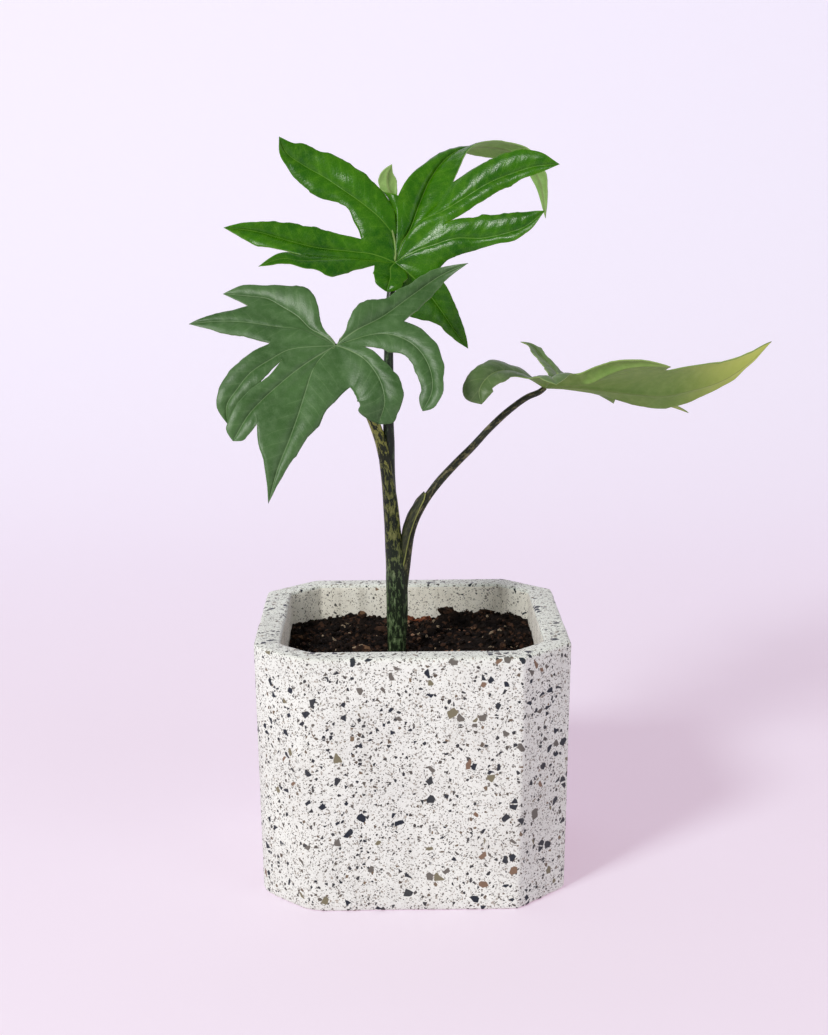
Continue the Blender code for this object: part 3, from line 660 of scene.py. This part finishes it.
lay_skin(sheath, sheath_places)
edges = sheath.data.attributes.new("edge_mm", "FLOAT", "POINT")
edges.data.foreach_set("value", np.array(sheath_edges, np.float32))


def sheath_skin():
    """The stalk's own flecks, thinner and browner, with the dry yellow-green edge."""
    made = Finish("sheath skin", Specular_IOR_Level=0.45, Subsurface_Weight=0.05)
    place = made.reading("skin_place", out=1)
    edge = made.reading("edge_mm")
    drawn_out = made.vector("MULTIPLY", place, (1.0, 1.0, 0.18))
    flecks = made.noise(1.1, 3.0, 0.6, drawn_out)
    fine = made.noise(4.0, 2.0, 0.6, drawn_out)
    colour = made.mix(flecks.above(0.48, 0.64), srgb(40, 48, 26), srgb(84, 88, 48))
    colour = made.mix((edge + fine * 0.3).above(0.75, 0.42), colour, srgb(156, 162, 84))
    made.feed("Base Color", colour)
    made.feed("Roughness", 0.42 + fine * 0.15)
    made.feed("Normal", made.relief(fine, 0.12))
    return made.material


sheath.data.materials.append(sheath_skin())
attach(sheath, "root")
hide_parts("petiole_sheath")


# ---------------------------------------------------------------- front leaf
# A thin leathery blade with eight finger-like lobes, spread like a fan round the top of its stalk.  Each lobe
# has a pale rib pressed into its upper face and standing out below, with faint veins slanting off it.

BLADE_ROWS = 64
BLADE_COLUMNS = 13
BLADE_BULGE = 0.08
BLADE_THICKNESS = 0.5
RELAX_SWEEPS = 26
RIB_SAMPLES = 240
GROOVE_WIDTH = 0.55
GROOVE_DEPTH = 0.28
RIB_WIDTH_BELOW = 0.8
VEIN_SPACING = 6.5
VEIN_SLANT = 0.84
# how far out of step the veins of the next half lobe are, as a part of their spacing
VEIN_STEP = 0.37
# smoothing fades out between these distances from the joint (mm)
JOINT_FADE = (16.0, 8.0)
# what each corner of a blade says of its place: how far across and along its own lobe, from the margin and
# from the seam to the next lobe, the lobe's length, and which half of which lobe it is; FAR is for none near
READINGS = ("across_mm", "along_mm", "rim_mm", "seam_mm", "lobe_mm", "lobe_part")
FAR = 30.0


class Lobe:
    """One lobe's midrib in space, with the blade's own directions along it."""

    def __init__(self, number, midrib, roll, fold, left, right, face, wave):
        stops = np.array([(0, 0, 0)] + midrib, float)
        self.stations = np.linspace(0.0, 1.0, RIB_SAMPLES)
        self.centres = curve_through(path_knots(stops), stops, self.stations)
        self.length = length_of(self.centres)
        tangents, normals = carry_frame(self.centres, face)
        lean = np.radians(curve_through(*zip(*roll), self.stations))[:, None]
        across = np.cross(normals, tangents)
        self.normals = normals * np.cos(lean) + across * np.sin(lean)
        self.across = np.cross(self.normals, tangents)
        self.fold = math.tan(math.radians(fold))
        self.margins = {1: left + [(1.0, 0.0)], -1: right + [(1.0, 0.0)]}
        self.number = number
        self.wave = wave

    def sample(self, table, stations):
        return np.stack([np.interp(stations, self.stations, table[:, axis]) for axis in range(3)], axis=-1)

    def rib(self, stations):
        return self.sample(self.centres, stations)

    def margin(self, side, stations):
        """The blade's edge on one side of the midrib, folded up from it and gently waved."""
        widths = curve_through(*zip(*self.margins[side]), stations)[:, None]
        ripple = []
        for row, station in enumerate(stations):
            travelled = station * self.length
            calm = min(1.0, 6 * (1 - station)) * min(1.0, 5 * (station - stations[0]))
            wave = noise.noise(Vector((travelled * 0.07, self.number * 5.3, side * 2.0)))
            ripple.append(wave * self.wave * calm)
            nibble = noise.noise(Vector((travelled * 0.17, self.number * 3.1, side * 4.0))) * 0.8
            nibble += noise.noise(Vector((travelled * 0.45, self.number * 7.7, side * 6.0))) * 0.35
            widths[row] += nibble * calm * min(1.0, widths[row, 0] / 4)
        outwards = self.sample(self.across, stations) * side + self.sample(self.normals, stations) * self.fold
        return self.rib(stations) + outwards * widths + self.sample(self.normals, stations) * np.c_[ripple]


def ease(value, low, high):
    """0 at low, 1 at high, and smooth between; high may be the smaller one."""
    t = min(max((value - low) / (high - low), 0.0), 1.0)
    return t * t * (3 - 2 * t)


def fan_of(lobes, face, wave):
    """Middle surface of a leaf, neighbours joined up to their notch: points, faces, and for the corners of
    each face how far it lies across and along its own lobe, from its margin and from the next lobe (mm)."""
    fan = [Lobe(number, *lobe[1:], face, wave) for number, lobe in enumerate(lobes)]
    points = [np.zeros(3)]
    slack = [0.0]

    def add(point, loose=0.0):
        """Loose is how much of the final smoothing the point takes: 1 across a seam, 0 out on a lobe."""
        points.append(np.asarray(point, float))
        slack.append(loose)
        return len(points) - 1

    # the notch between two neighbours, and the seam that runs out to it from the joint
    notches = []
    for here, after in zip(fan[:-1], fan[1:]):
        starts = (here.margins[-1][0][0], after.margins[1][0][0])
        place = (here.margin(-1, np.array(starts[:1]))[0] + after.margin(1, np.array(starts[1:]))[0]) / 2
        count = int(np.clip(round(BLADE_ROWS * sum(starts) / 2), 2, BLADE_ROWS - 2))
        seam = [0] + [add(place * step / count, 1.0) for step in range(1, count + 1)]
        notches.append((place, seam))
    # each lobe's two halves, as rows of points from the midrib out to the seam or the margin
    faces, readings = [], []
    held = {0}
    for number, lobe in enumerate(fan):
        stations = np.linspace(0.0, 1.0, BLADE_ROWS + 1)
        near_joint = [ease(station * lobe.length, *JOINT_FADE) for station in stations]
        rib = [0] + [add(point, loose) for point, loose in zip(lobe.rib(stations[1:]), near_joint[1:])]
        held.update(spot for spot, loose in zip(rib, near_joint) if loose == 0.0)
        for side in (1, -1):
            notch = number - 1 if side == 1 else number
            place, seam = notches[notch] if 0 <= notch < len(notches) else (None, [0])
            joined = len(seam) - 1
            start = lobe.margins[side][0][0]
            free = np.linspace(start, 1.0, BLADE_ROWS - joined + 1)
            edge_points = lobe.margin(side, free)
            if place is not None:
                fade = (1 - (free - start) / (1 - start))[:, None] ** 2
                edge_points = edge_points + (place - edge_points[0]) * fade
            edge = seam + [add(point) for point in edge_points[1:-1]] + [rib[-1]]
            held.update(edge[joined:])
            grid = [[0] * (BLADE_COLUMNS + 1)]
            marks = [[(0.0, 0.0, 0.0, 0.0)] * (BLADE_COLUMNS + 1)]
            for row in range(1, BLADE_ROWS + 1):
                inner, outer = points[rib[row]], points[edge[row]]
                width = np.linalg.norm(outer - inner)
                lift = lobe.sample(lobe.normals, stations[row]) * width * BLADE_BULGE
                tangent = unit(lobe.rib(min(stations[row] + 0.01, 1.0)) - lobe.rib(stations[row] - 0.01))
                shared = row <= joined and len(seam) > 1
                line, mark = [], []
                for column in range(BLADE_COLUMNS + 1):
                    t = (column / BLADE_COLUMNS) ** 1.25
                    spot = inner * (1 - t) + outer * t + lift * 4 * t * (1 - t)
                    if column == 0 or row == BLADE_ROWS:
                        line.append(rib[row])
                    elif column == BLADE_COLUMNS:
                        line.append(edge[row])
                    else:
                        over_seam = ease(t, 0.1, 0.7) * (len(seam) > 1) * ease(row - joined, 8.0, 0.0)
                        line.append(add(spot, max(over_seam, near_joint[row])))
                    forward = float(np.dot(outer - inner, tangent)) * t
                    along = stations[row] * lobe.length + forward
                    across = math.sqrt(max((width * t) ** 2 - forward ** 2, 0.0))
                    rest = width * (1 - t)
                    mark.append((across, along, FAR if shared else rest, rest if shared else FAR))
                grid.append(line)
                marks.append(mark)
            for row in range(BLADE_ROWS):
                for column in range(BLADE_COLUMNS):
                    corners = [(row, column), (row + 1, column), (row + 1, column + 1), (row, column + 1)]
                    if side == -1:
                        corners.reverse()
                    kept = []
                    for r, c in corners:
                        if grid[r][c] not in [grid[a][b] for a, b in kept]:
                            kept.append((r, c))
                    if len(kept) > 2:
                        faces.append(tuple(grid[r][c] for r, c in kept))
                        part = number + 0.5 * (side == 1)
                        readings.append([(*marks[r][c], lobe.length, part) for r, c in kept])
    # the seams and the blade round the joint draw smooth, as a stretched skin does
    laid = np.array(points)
    points = laid.copy()
    ends = {tuple(sorted((face[i], face[i - 1]))) for face in faces for i in range(len(face))}
    ends = np.array(sorted(ends))
    free_points = np.ones(len(points), bool)
    free_points[list(held)] = False
    for sweep in range(RELAX_SWEEPS):
        total = np.zeros_like(points)
        count = np.zeros(len(points))
        for a, b in ((0, 1), (1, 0)):
            np.add.at(total, ends[:, a], points[ends[:, b]])
            np.add.at(count, ends[:, a], 1)
        points[free_points] = (total / count[:, None])[free_points]
    return laid + (points - laid) * np.array(slack)[:, None], faces, readings


def leaf(name, lobes, joint, face, wave, upper, under, node):
    """Upper and lower skins of a blade with ribs, veins and quilting, joined round the rim."""
    face = unit(face)
    points, faces, readings = fan_of(lobes, face, wave)
    normals = np.zeros_like(points)
    for corners in faces:
        spots = points[list(corners)]
        normal = np.cross(spots[1] - spots[0], spots[2] - spots[0])
        if len(corners) == 4:
            normal = normal + np.cross(spots[2] - spots[0], spots[3] - spots[0])
        normals[list(corners)] += normal
    normals = unit(normals)
    above = np.full(len(points), 9.0)
    below = np.full(len(points), 9.0)
    for corners, marks in zip(faces, readings):
        for corner, (across, along, rim, seam, length, part) in zip(corners, marks):
            calm = ease(along, 3.0, 14.0) * ease(length - along, 1.0, 8.0)
            calm *= ease(seam, 0.5, 5.0) * ease(rim, 0.2, 3.0)
            phase = (along - VEIN_SLANT * across) / VEIN_SPACING + part * VEIN_STEP
            swell = math.cos(2 * math.pi * phase)
            groove = math.exp(-((across / GROOVE_WIDTH) ** 2)) * GROOVE_DEPTH
            quilt = (0.16 - 0.16 * swell) * ease(across, 0.3, 3.0) * calm
            raised = 0.55 * ease(length - along, 0.0, 0.8 * length) + 0.1
            raised *= math.exp(-((across / RIB_WIDTH_BELOW) ** 2))
            above[corner] = min(above[corner], quilt - groove)
            below[corner] = min(below[corner], raised - quilt * 0.8)
    half = BLADE_THICKNESS / 2
    top = points + normals * (half + above)[:, None]
    bottom = points - normals * (half + below)[:, None]
    count = len(points)
    sides = dict.fromkeys((corners[i - 1], corners[i]) for corners in faces for i in range(len(corners)))
    rim_faces = [(b, a, a + count, b + count) for a, b in sides if (b, a) not in sides]
    flipped = [tuple(corner + count for corner in reversed(corners)) for corners in faces]
    skins = np.concatenate([top, bottom]) + np.asarray(joint, float)
    piece = mesh_from(name, skins, faces + flipped + rim_faces)
    for polygon in piece.data.polygons:
        polygon.material_index = int(polygon.index >= len(faces))
    rows = [mark for marks in readings for mark in marks]
    rows += [mark for marks in readings for mark in reversed(marks)]
    rows += [(6.0, FAR, 0.0, FAR, 60.0, 0.0)] * (4 * len(rim_faces))
    table = np.array(rows, np.float32)
    for column, title in enumerate(READINGS):
        made = piece.data.attributes.new(title, "FLOAT", "CORNER")
        made.data.foreach_set("value", np.ascontiguousarray(table[:, column]))
    piece.data.materials.append(upper)
    piece.data.materials.append(under)
    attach(piece, "root")
    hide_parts(node)


def blade_finish(name, green, deep, light, rib, gloss, rib_width, vein_strength, tip=None, **constants):
    """Leaf skin: mottled green, a pale rib with slanting veins off it, and a thin paler rim."""
    made = Finish(name, **constants)
    across, along, rim, seam, length, part = (made.reading(title) for title in READINGS)
    place = made.place()
    cloud = made.noise(36.0, 3.0, 0.55, place)
    mottle = made.noise(260.0, 4.0, 0.65, place)
    cells = made.cells(900.0, place, feature="DISTANCE_TO_EDGE")
    strayed = (made.noise(90.0, 2.0, 0.5, place) - 0.5) * 2.4
    phase = (along - across * VEIN_SLANT + strayed) * (1 / VEIN_SPACING) + part * VEIN_STEP
    off_vein = (phase - 0.5).maths("PINGPONG", 0.5)
    calm = seam.above(0.8, 5.0) * along.above(3.0, 12.0) * rim.above(0.4, 3.0)
    veins = off_vein.above(0.44, 0.497) * calm * across.above(22.0, 8.0)
    small = (phase * 3.0 - 0.5).maths("PINGPONG", 0.5).above(0.40, 0.5) * calm
    colour = made.mix(cloud.above(0.32, 0.68), deep, green)
    colour = made.mix(mottle.above(0.35, 0.8) * 0.45, colour, light)
    colour = made.mix(off_vein.above(0.5, 0.1) * calm * 0.22, colour, deep)
    colour = made.mix(cells.above(0.06, 0.0) * 0.16, colour, light)
    colour = made.mix(small * 0.12 * vein_strength, colour, light)
    colour = made.mix(veins * 0.5 * vein_strength, colour, rib)
    # a paler, yellower tip on long lobes: painted light shining through the thin blade, on top of its own
    # yellowing
    if tip:
        colour = made.mix((along / length).above(0.45, 1.02) * length.above(80.0, 90.0), colour, tip)
    half_rib = ((length - along) / length * 0.55 + 0.45) * rib_width
    on_rib = (half_rib - across).above(-0.12, 0.14) * (length - along).above(0.5, 5.0)
    colour = made.mix(on_rib * 0.5, colour, rib)
    colour = made.mix(rim.above(0.55, 0.15) * 0.5, colour, light)
    made.feed("Base Color", colour)
    made.feed("Roughness", gloss + (mottle - 0.5) * 0.16 + cells.above(0.1, 0.0) * 0.05 + on_rib * 0.05)
    height = cells.above(0.0, 0.22) * 0.10 + mottle * 0.45 + off_vein * calm * 1.6 + cloud * 3.0
    made.feed("Normal", made.relief(height, 0.16))
    return made.material


# a lobe's roll about its midrib, as (station, degrees)
FLAT = [(0, 0), (1, 0)]

# each lobe, clockwise as its upper face is seen: name; midrib from the stalk joint; roll; how far its two
# halves fold up (degrees); then its left and right margins as (station, width)
FRONT_LEAF = [
    ("back_right", [(5, 1, 4), (21, 8, 12), (33, 14, 20), (47, 18, 29), (58, 16, 34)], FLAT, 8,
     [(0, 0), (0.1, 2), (0.2, 8), (0.3, 10), (0.4, 7), (0.6, 5), (0.8, 3.5)],
     [(0.43, 7.6), (0.6, 6.8), (0.7, 5.6), (0.8, 3.6)]),
    ("right", [(12, 0, 4), (22, -1, 5), (33, -5, 1), (40, -12, -8), (41, -18, -18), (37, -20, -26)],
     FLAT, 6,
     [(0.4, 7), (0.6, 7.2), (0.7, 6.5), (0.8, 5.3), (0.9, 4.6), (0.97, 2.8)],
     [(0.17, 4.8), (0.3, 7.3), (0.4, 7.6), (0.55, 6), (0.7, 5.9), (0.85, 4.8), (0.96, 3)]),
    ("lower_right", [(5, -3, -1), (11, -7, -4), (17, -12, -10), (20, -16, -16), (21, -18, -22),
                     (18, -16, -32)], FLAT, 6,
     [(0.24, 4.2), (0.35, 5.2), (0.5, 6.3), (0.7, 8.4), (0.85, 6.4), (0.95, 4.6)],
     [(0.53, 12.2), (0.6, 11.8), (0.75, 11), (0.88, 10), (0.96, 8)]),
    ("tip", [(-4, -3, -1), (-9, -8, -8), (-13, -16, -19), (-16, -22, -28), (-19, -27, -36), (-24, -33, -48),
             (-28, -37, -62)], FLAT, 6,
     [(0.25, 17), (0.33, 14), (0.4, 11.2), (0.5, 9.6), (0.6, 7), (0.75, 4), (0.88, 2)],
     [(0.62, 15), (0.7, 12.4), (0.8, 6.4), (0.9, 2.6)]),
    ("lower_left", [(-6, -4, -3), (-16, -10, -9), (-24, -15, -15), (-30, -19, -20), (-36, -23, -26),
                    (-43, -27, -37)], FLAT, 6,
     [(0.83, 5.3), (0.92, 4.6), (0.97, 3.4)],
     [(0.36, 7.5), (0.5, 5.6), (0.7, 6.5), (0.8, 6.5), (0.9, 5.6), (0.97, 3.6)]),
    ("left_low", [(-12, -4, 0), (-20, -6, -1), (-28, -9, -5), (-36, -12, -10), (-42, -15, -17),
                  (-46, -17, -23), (-46, -18, -31)], FLAT, 6,
     [(0.39, 2.8), (0.5, 4.6), (0.6, 6.2), (0.8, 5.1), (0.9, 4.1)],
     [(0.4, 6), (0.6, 6.9), (0.75, 7.3), (0.9, 3.8)]),
    ("left", [(-3, 0, 2), (-11, 2, 6), (-26, 4, 8), (-42, 6, 10), (-54, 7, 10), (-64, 8, 9)], FLAT, 6,
     [(0.43, 8.6), (0.6, 7.6), (0.7, 7), (0.8, 5.6), (0.9, 2.9)],
     [(0.62, 7.3), (0.7, 5.4), (0.8, 3.9), (0.9, 2.3)]),
    ("back_left", [(-3, 1, 3), (-10, 5, 6), (-17, 10, 12), (-24, 13, 16), (-30, 16, 19), (-38, 18, 20),
                   (-50, 20, 21)], FLAT, 6,
     [(0.79, 5), (0.9, 2.4)],
     [(0, 0), (0.1, 1.5), (0.2, 4.5), (0.3, 8.2), (0.4, 12), (0.5, 12), (0.6, 8.9), (0.7, 5.8), (0.85, 5)]),
]

front_upper = blade_finish("front leaf upper", srgb(68, 104, 52), srgb(44, 80, 28), srgb(98, 128, 84),
                           srgb(134, 158, 112), 0.42, 0.20, 0.20, Specular_IOR_Level=0.42)
front_under = blade_finish("front leaf underside", srgb(112, 134, 88), srgb(88, 114, 64), srgb(136, 154, 110),
                           srgb(160, 176, 124), 0.58, 0.9, 0.7, Specular_IOR_Level=0.35)
leaf("front_leaf", FRONT_LEAF, (-32, -30, 245), (0.05, -0.86, 0.5), 1.6, front_upper, front_under,
                  "leaf_front")


# ---------------------------------------------------------------- top leaf
# The youngest and glossiest blade, bright green, with nine lobes.  One at the back right has rolled over, so
# that its pale underside shows, and so has the small one in the middle.

TOP_LEAF = [
    ("small", [(-2, -3, -2), (-2, -7, -6), (-3, -11, -9), (-4, -12, -12)], FLAT, 8,
     [(0, 0), (0.1, 3.9), (0.25, 5.7), (0.7, 6.3), (0.9, 4.6)],
     [(0.28, 7.2), (0.6, 7.6), (0.8, 6.8), (0.9, 5.2)]),
    ("left_low", [(-9, -3, 1), (-21, -6, 2), (-33, -10, 2), (-41, -13, 2), (-50, -15, 3), (-60, -19, 0)],
     FLAT, 8,
     [(0.16, 2.4), (0.3, 6), (0.4, 8.3), (0.5, 9), (0.6, 5.6), (0.75, 3), (0.9, 2.2)],
     [(0.67, 2.5), (0.8, 2.4), (0.9, 1.5)]),
    ("left", [(-6, 0, 3), (-19, 1, 5), (-36, 2, 7), (-48, 3, 10), (-62, 4, 14), (-77, 4, 16)],
     FLAT, 8,
     [(0.52, 5.4), (0.65, 5.8), (0.8, 6.6), (0.9, 4.1)],
     [(0.21, 6.1), (0.4, 8), (0.5, 8.6), (0.6, 8.2), (0.7, 6.8), (0.8, 4.6), (0.9, 2.8)]),
    ("left_up", [(1, 3, 8), (-6, 6, 19), (-13, 9, 25), (-23, 12, 32), (-32, 15, 38), (-41, 17, 43),
                 (-49, 18, 49), (-52, 17, 56)], FLAT, 8,
     [(0.25, 12.7), (0.35, 9.6), (0.5, 5.8), (0.58, 9), (0.7, 8.8), (0.8, 6.6), (0.9, 3.7)],
     [(0.31, 10.4), (0.4, 11.9), (0.5, 12.9), (0.6, 12.3), (0.75, 9.5), (0.9, 7)]),
    ("curled", [(1, 4, 10), (1, 8, 20), (-1, 11, 28), (-3, 12, 34), (-3, 11, 39), (-1, 10, 43.5)],
     [(0, 0), (0.4, 20), (0.66, 150), (1, 165)], 4,
     [(0.5, 1.6), (0.64, 3.2), (0.76, 4.4), (0.86, 3.6), (0.94, 1.8)],
     [(0.5, 1.6), (0.64, 3), (0.76, 4), (0.86, 3.4), (0.94, 1.6)]),
    ("main", [(0, 1, 5), (6, 4, 13), (11, 9, 25), (16, 14, 36), (22, 20, 44), (29, 27, 49), (39, 35, 51),
              (51, 41, 50), (62, 43, 45), (68, 41, 36), (71, 37, 18)],
     [(0, 0), (0.44, 5), (0.64, 76), (1, 90)], 6,
     [(0.27, 12.8), (0.32, 12), (0.4, 8.4), (0.5, 6.4), (0.6, 6.4), (0.7, 5), (0.8, 4.4), (0.9, 3)],
     [(0.35, 9.6), (0.4, 8.5), (0.5, 5), (0.6, 3.6), (0.7, 4), (0.8, 5), (0.9, 3)]),
    ("right_up", [(6, 0, 13), (11, 0, 18), (22, 0, 23), (32, 0, 29), (42, -1, 35), (52, -2, 39), (62, -4, 42),
                  (73, -7, 43)], FLAT, 8,
     [(0.49, 8.8), (0.6, 8.8), (0.7, 9.5), (0.8, 9.2), (0.9, 6.1)],
     [(0.34, 5.5), (0.6, 6), (0.7, 5.4), (0.8, 4.4), (0.9, 3.2)]),
    ("right", [(2, -1, 2), (8, -2, 5), (17, -4, 8), (27, -6, 11), (38, -8, 11), (48, -11, 13), (57, -13, 16),
               (66, -14, 23)], FLAT, 8,
     [(0.36, 7.5), (0.5, 9.2), (0.6, 9.8), (0.7, 9.2), (0.8, 7.9), (0.9, 5.6)],
     [(0.26, 12), (0.33, 9), (0.42, 8), (0.5, 6.2), (0.6, 4), (0.8, 4.2), (0.9, 2.1)]),
    ("lower_right", [(3, -2, -2), (10, -3, -8), (16, -3, -15), (21, -2, -22), (27, -1, -31), (33, 0, -39)],
     FLAT, 8,
     [(0.32, 9.1), (0.5, 7.8), (0.7, 5.8), (0.85, 3.6)],
     [(0, 0), (0.1, 4.5), (0.2, 9.6), (0.3, 13), (0.4, 15), (0.5, 12), (0.6, 7.4), (0.75, 4.2), (0.9, 2)]),
]

top_upper = blade_finish("top leaf upper", srgb(50, 106, 0), srgb(20, 76, 0), srgb(88, 138, 20),
                         srgb(112, 156, 56), 0.25, 0.20, 0.20, Specular_IOR_Level=0.22)
top_under = blade_finish("top leaf underside", srgb(134, 170, 90), srgb(110, 150, 68), srgb(156, 188, 114),
                         srgb(112, 124, 72), 0.5, 0.8, 0.7, Specular_IOR_Level=0.4)
leaf("top_leaf", TOP_LEAF, (-6, 8, 278), (-0.05, -0.86, 0.5), 1.6, top_upper, top_under,
                "leaf_top")


# ---------------------------------------------------------------- right leaf
# The oldest blade, held nearly level, so that it is seen along its edge: upper faces grey green, undersides
# yellow green, and the tip of the longest lobe turned up, yellowing, and painted paler still as light shining
# through it.

RIGHT_LEAF = [
    ("back", [(7, 8, 2), (6, 17, 5), (1, 28, 10), (-3, 37, 14), (-8, 42, 16)], FLAT, 34,
     [(0, 0), (0.15, 3.6), (0.3, 5.2), (0.5, 4.6), (0.7, 3.4), (0.85, 2.2)],
     [(0.4, 5.6), (0.55, 4), (0.75, 2.2), (0.9, 1.2)]),
    ("back_right", [(11, 12, -1), (22, 26, -5), (32, 38, -10), (37, 44, -14)], FLAT, 8,
     [(0.3, 8), (0.5, 9), (0.75, 7), (0.9, 4)],
     [(0.35, 8), (0.5, 8), (0.75, 6.5), (0.9, 4)]),
    ("right_low", [(15, 8, -2), (31, 20, -7), (49, 31, -12), (64, 37, -15), (72, 39, -18)], FLAT, 8,
     [(0.25, 7), (0.45, 9), (0.7, 8), (0.9, 4)],
     [(0.4, 10), (0.6, 9), (0.8, 6), (0.9, 4)]),
    ("main", [(10, 0, 0), (27, 1, -2), (42, 3, -4), (55, 5, -5), (67, 7, -3), (82, 10, 1), (95, 13, 9),
              (105, 16, 18)], [(0, 0), (0.2, 40), (1, 50)], 6,
     [(0.28, 9), (0.4, 10), (0.5, 10), (0.6, 9), (0.7, 7), (0.85, 4)],
     [(0.53, 14), (0.62, 14), (0.72, 12.5), (0.85, 8), (0.93, 4.5)]),
    ("near_right", [(9, -4, 1), (20, -9, 3), (26, -15, 7), (35, -22, 11), (44, -26, 12), (52, -28, 12)],
     [(0, 0), (0.3, 40), (1, 40)], 6,
     [(0.9, 7), (0.95, 4)],
     [(0.3, 8), (0.5, 6), (0.7, 5), (0.85, 3.5)]),
    ("near", [(1, -8, 4), (1, -17, 6), (1, -25, 7), (2, -31, 5)], FLAT, 6,
     [(0.35, 10), (0.6, 9), (0.8, 7), (0.9, 5)],
     [(0.5, 8), (0.7, 7), (0.9, 4)]),
    ("left", [(-6, -4, 4), (-15, -9, 8), (-21, -14, 9), (-27, -20, 7), (-31, -25, 1), (-30, -27, -4)],
     [(0, 0), (0.3, 20), (1, 20)], 6,
     [(0.35, 6), (0.5, 5), (0.62, 6.6), (0.8, 5.6), (0.93, 5.4)],
     [(0, 0), (0.1, 3), (0.22, 6.6), (0.34, 5.6), (0.5, 7.4), (0.7, 6.4), (0.82, 7.2), (0.93, 6)]),
]

# the tip colour on both faces is partly painted light shining through the blade
right_upper = blade_finish("right leaf upper", srgb(92, 118, 66), srgb(62, 90, 38), srgb(120, 138, 98),
                           srgb(150, 166, 110), 0.45, 0.26, 0.3, tip=srgb(198, 214, 100),
                           Specular_IOR_Level=0.45)
right_under = blade_finish("right leaf underside", srgb(126, 154, 76), srgb(102, 136, 58), srgb(148, 172, 98),
                           srgb(112, 132, 70), 0.55, 0.3, 0.4, tip=srgb(204, 218, 104),
                           Specular_IOR_Level=0.35)
leaf("right_leaf", RIGHT_LEAF, (61, -4, 223), (-0.05, -0.12, 1.0), 1.4, right_upper, right_under,
                  "leaf_right")


# ---------------------------------------------------------------- table, backdrop, light and camera
# A seamless sheet of pale pink-lavender paper that curves up behind, a wide soft lamp high on the left with a
# paler one on the right, and a long-lens camera a little above the leaves.  The paper also glows: painted
# light that brightens the room and tints the cast shadow on the floor pink.

SWEEP_FRONT = -2600.0
SWEEP_BACK = 1500.0
SWEEP_RISE = 2600.0
SWEEP_BEND = 900.0
SWEEP_HALF = 3200.0
PAPER_FADE = 1400.0
sweep_line = [(SWEEP_FRONT, 0.0), (SWEEP_BACK - SWEEP_BEND, 0.0)]
for turn in np.linspace(0.0, math.pi / 2, 25)[1:-1]:
    sweep_line.append((SWEEP_BACK - SWEEP_BEND * (1 - math.sin(turn)), SWEEP_BEND * (1 - math.cos(turn))))
sweep_line.append((SWEEP_BACK, SWEEP_RISE))
sweep_points = [(x, y, z) for y, z in sweep_line for x in (-SWEEP_HALF, SWEEP_HALF)]
sweep_faces = [(2 * i, 2 * i + 1, 2 * i + 3, 2 * i + 2) for i in range(len(sweep_line) - 1)]
paper_sweep = mesh_from("paper_sweep", sweep_points, sweep_faces)
# the paper's glow is painted light: it is no lamp, yet it lights the room and the planter
paper = Finish("pale paper", Roughness=0.9, Specular_IOR_Level=0.1, Emission_Strength=0.36)
further_back = paper.node("ShaderNodeSeparateXYZ", {}, {0: paper.place()}, out=1)
further_back = further_back.above(0.0, PAPER_FADE * MM)
# the floor is greyer, with a pinker glow than the back, so that the shadow on it shows pink: a painted shadow
# tint
paper.feed("Base Color", paper.mix(further_back, srgb(197, 205, 212), srgb(222, 221, 234)))
paper.feed("Emission Color", paper.mix(further_back, srgb(255, 199, 226), srgb(250, 237, 253)))
paper_sweep.data.materials.append(paper.material)

scene = bpy.context.scene
scene.view_settings.view_transform = "Standard"
scene.world = bpy.data.worlds.new("pale room")
scene.world.use_nodes = True
room_tree = scene.world.node_tree
room = room_tree.nodes["Background"]
room.inputs["Color"].default_value = (1.0, 0.995, 1.0, 1.0)
room.inputs["Strength"].default_value = 0.37
# past the paper's edge the camera sees the same pale pink, though the room itself is dimmer
far_wall = room_tree.nodes.new("ShaderNodeBackground")
far_wall.inputs["Color"].default_value = srgb(246, 236, 248)
seen = room_tree.nodes.new("ShaderNodeLightPath")
chosen = room_tree.nodes.new("ShaderNodeMixShader")
room_tree.links.new(seen.outputs["Is Camera Ray"], chosen.inputs[0])
room_tree.links.new(room.outputs[0], chosen.inputs[1])
room_tree.links.new(far_wall.outputs[0], chosen.inputs[2])
room_tree.links.new(chosen.outputs[0], room_tree.nodes["World Output"].inputs[0])


def lamp(name, place, target, size, watts, colour):
    light = bpy.data.lights.new(name, "AREA")
    light.shape = "DISK"
    light.size = size * MM
    light.energy = watts
    light.color = colour
    item = bpy.data.objects.new(name, light)
    item.location = Vector(place) * MM
    item.rotation_euler = (Vector(target) - Vector(place)).to_track_quat("-Z", "Y").to_euler()
    scene.collection.objects.link(item)


lamp("soft lamp", (-1210, -1380, 1400), (0, 0, 150), 500, 33.0, (1.0, 1.0, 0.97))
lamp("fill lamp", (1500, -1300, 900), (0, 0, 150), 1200, 5.0, (0.98, 0.97, 1.0))

camera = bpy.data.cameras.new("camera")
camera.lens = 59.13
camera.sensor_width = 36.0
seen_from = bpy.data.objects.new("camera", camera)
seen_from.location = Vector((-8.0, -764.0, 323.5)) * MM
seen_from.rotation_euler = (math.radians(90 - 11.9), 0.006, -0.014)
scene.collection.objects.link(seen_from)
scene.camera = seen_from
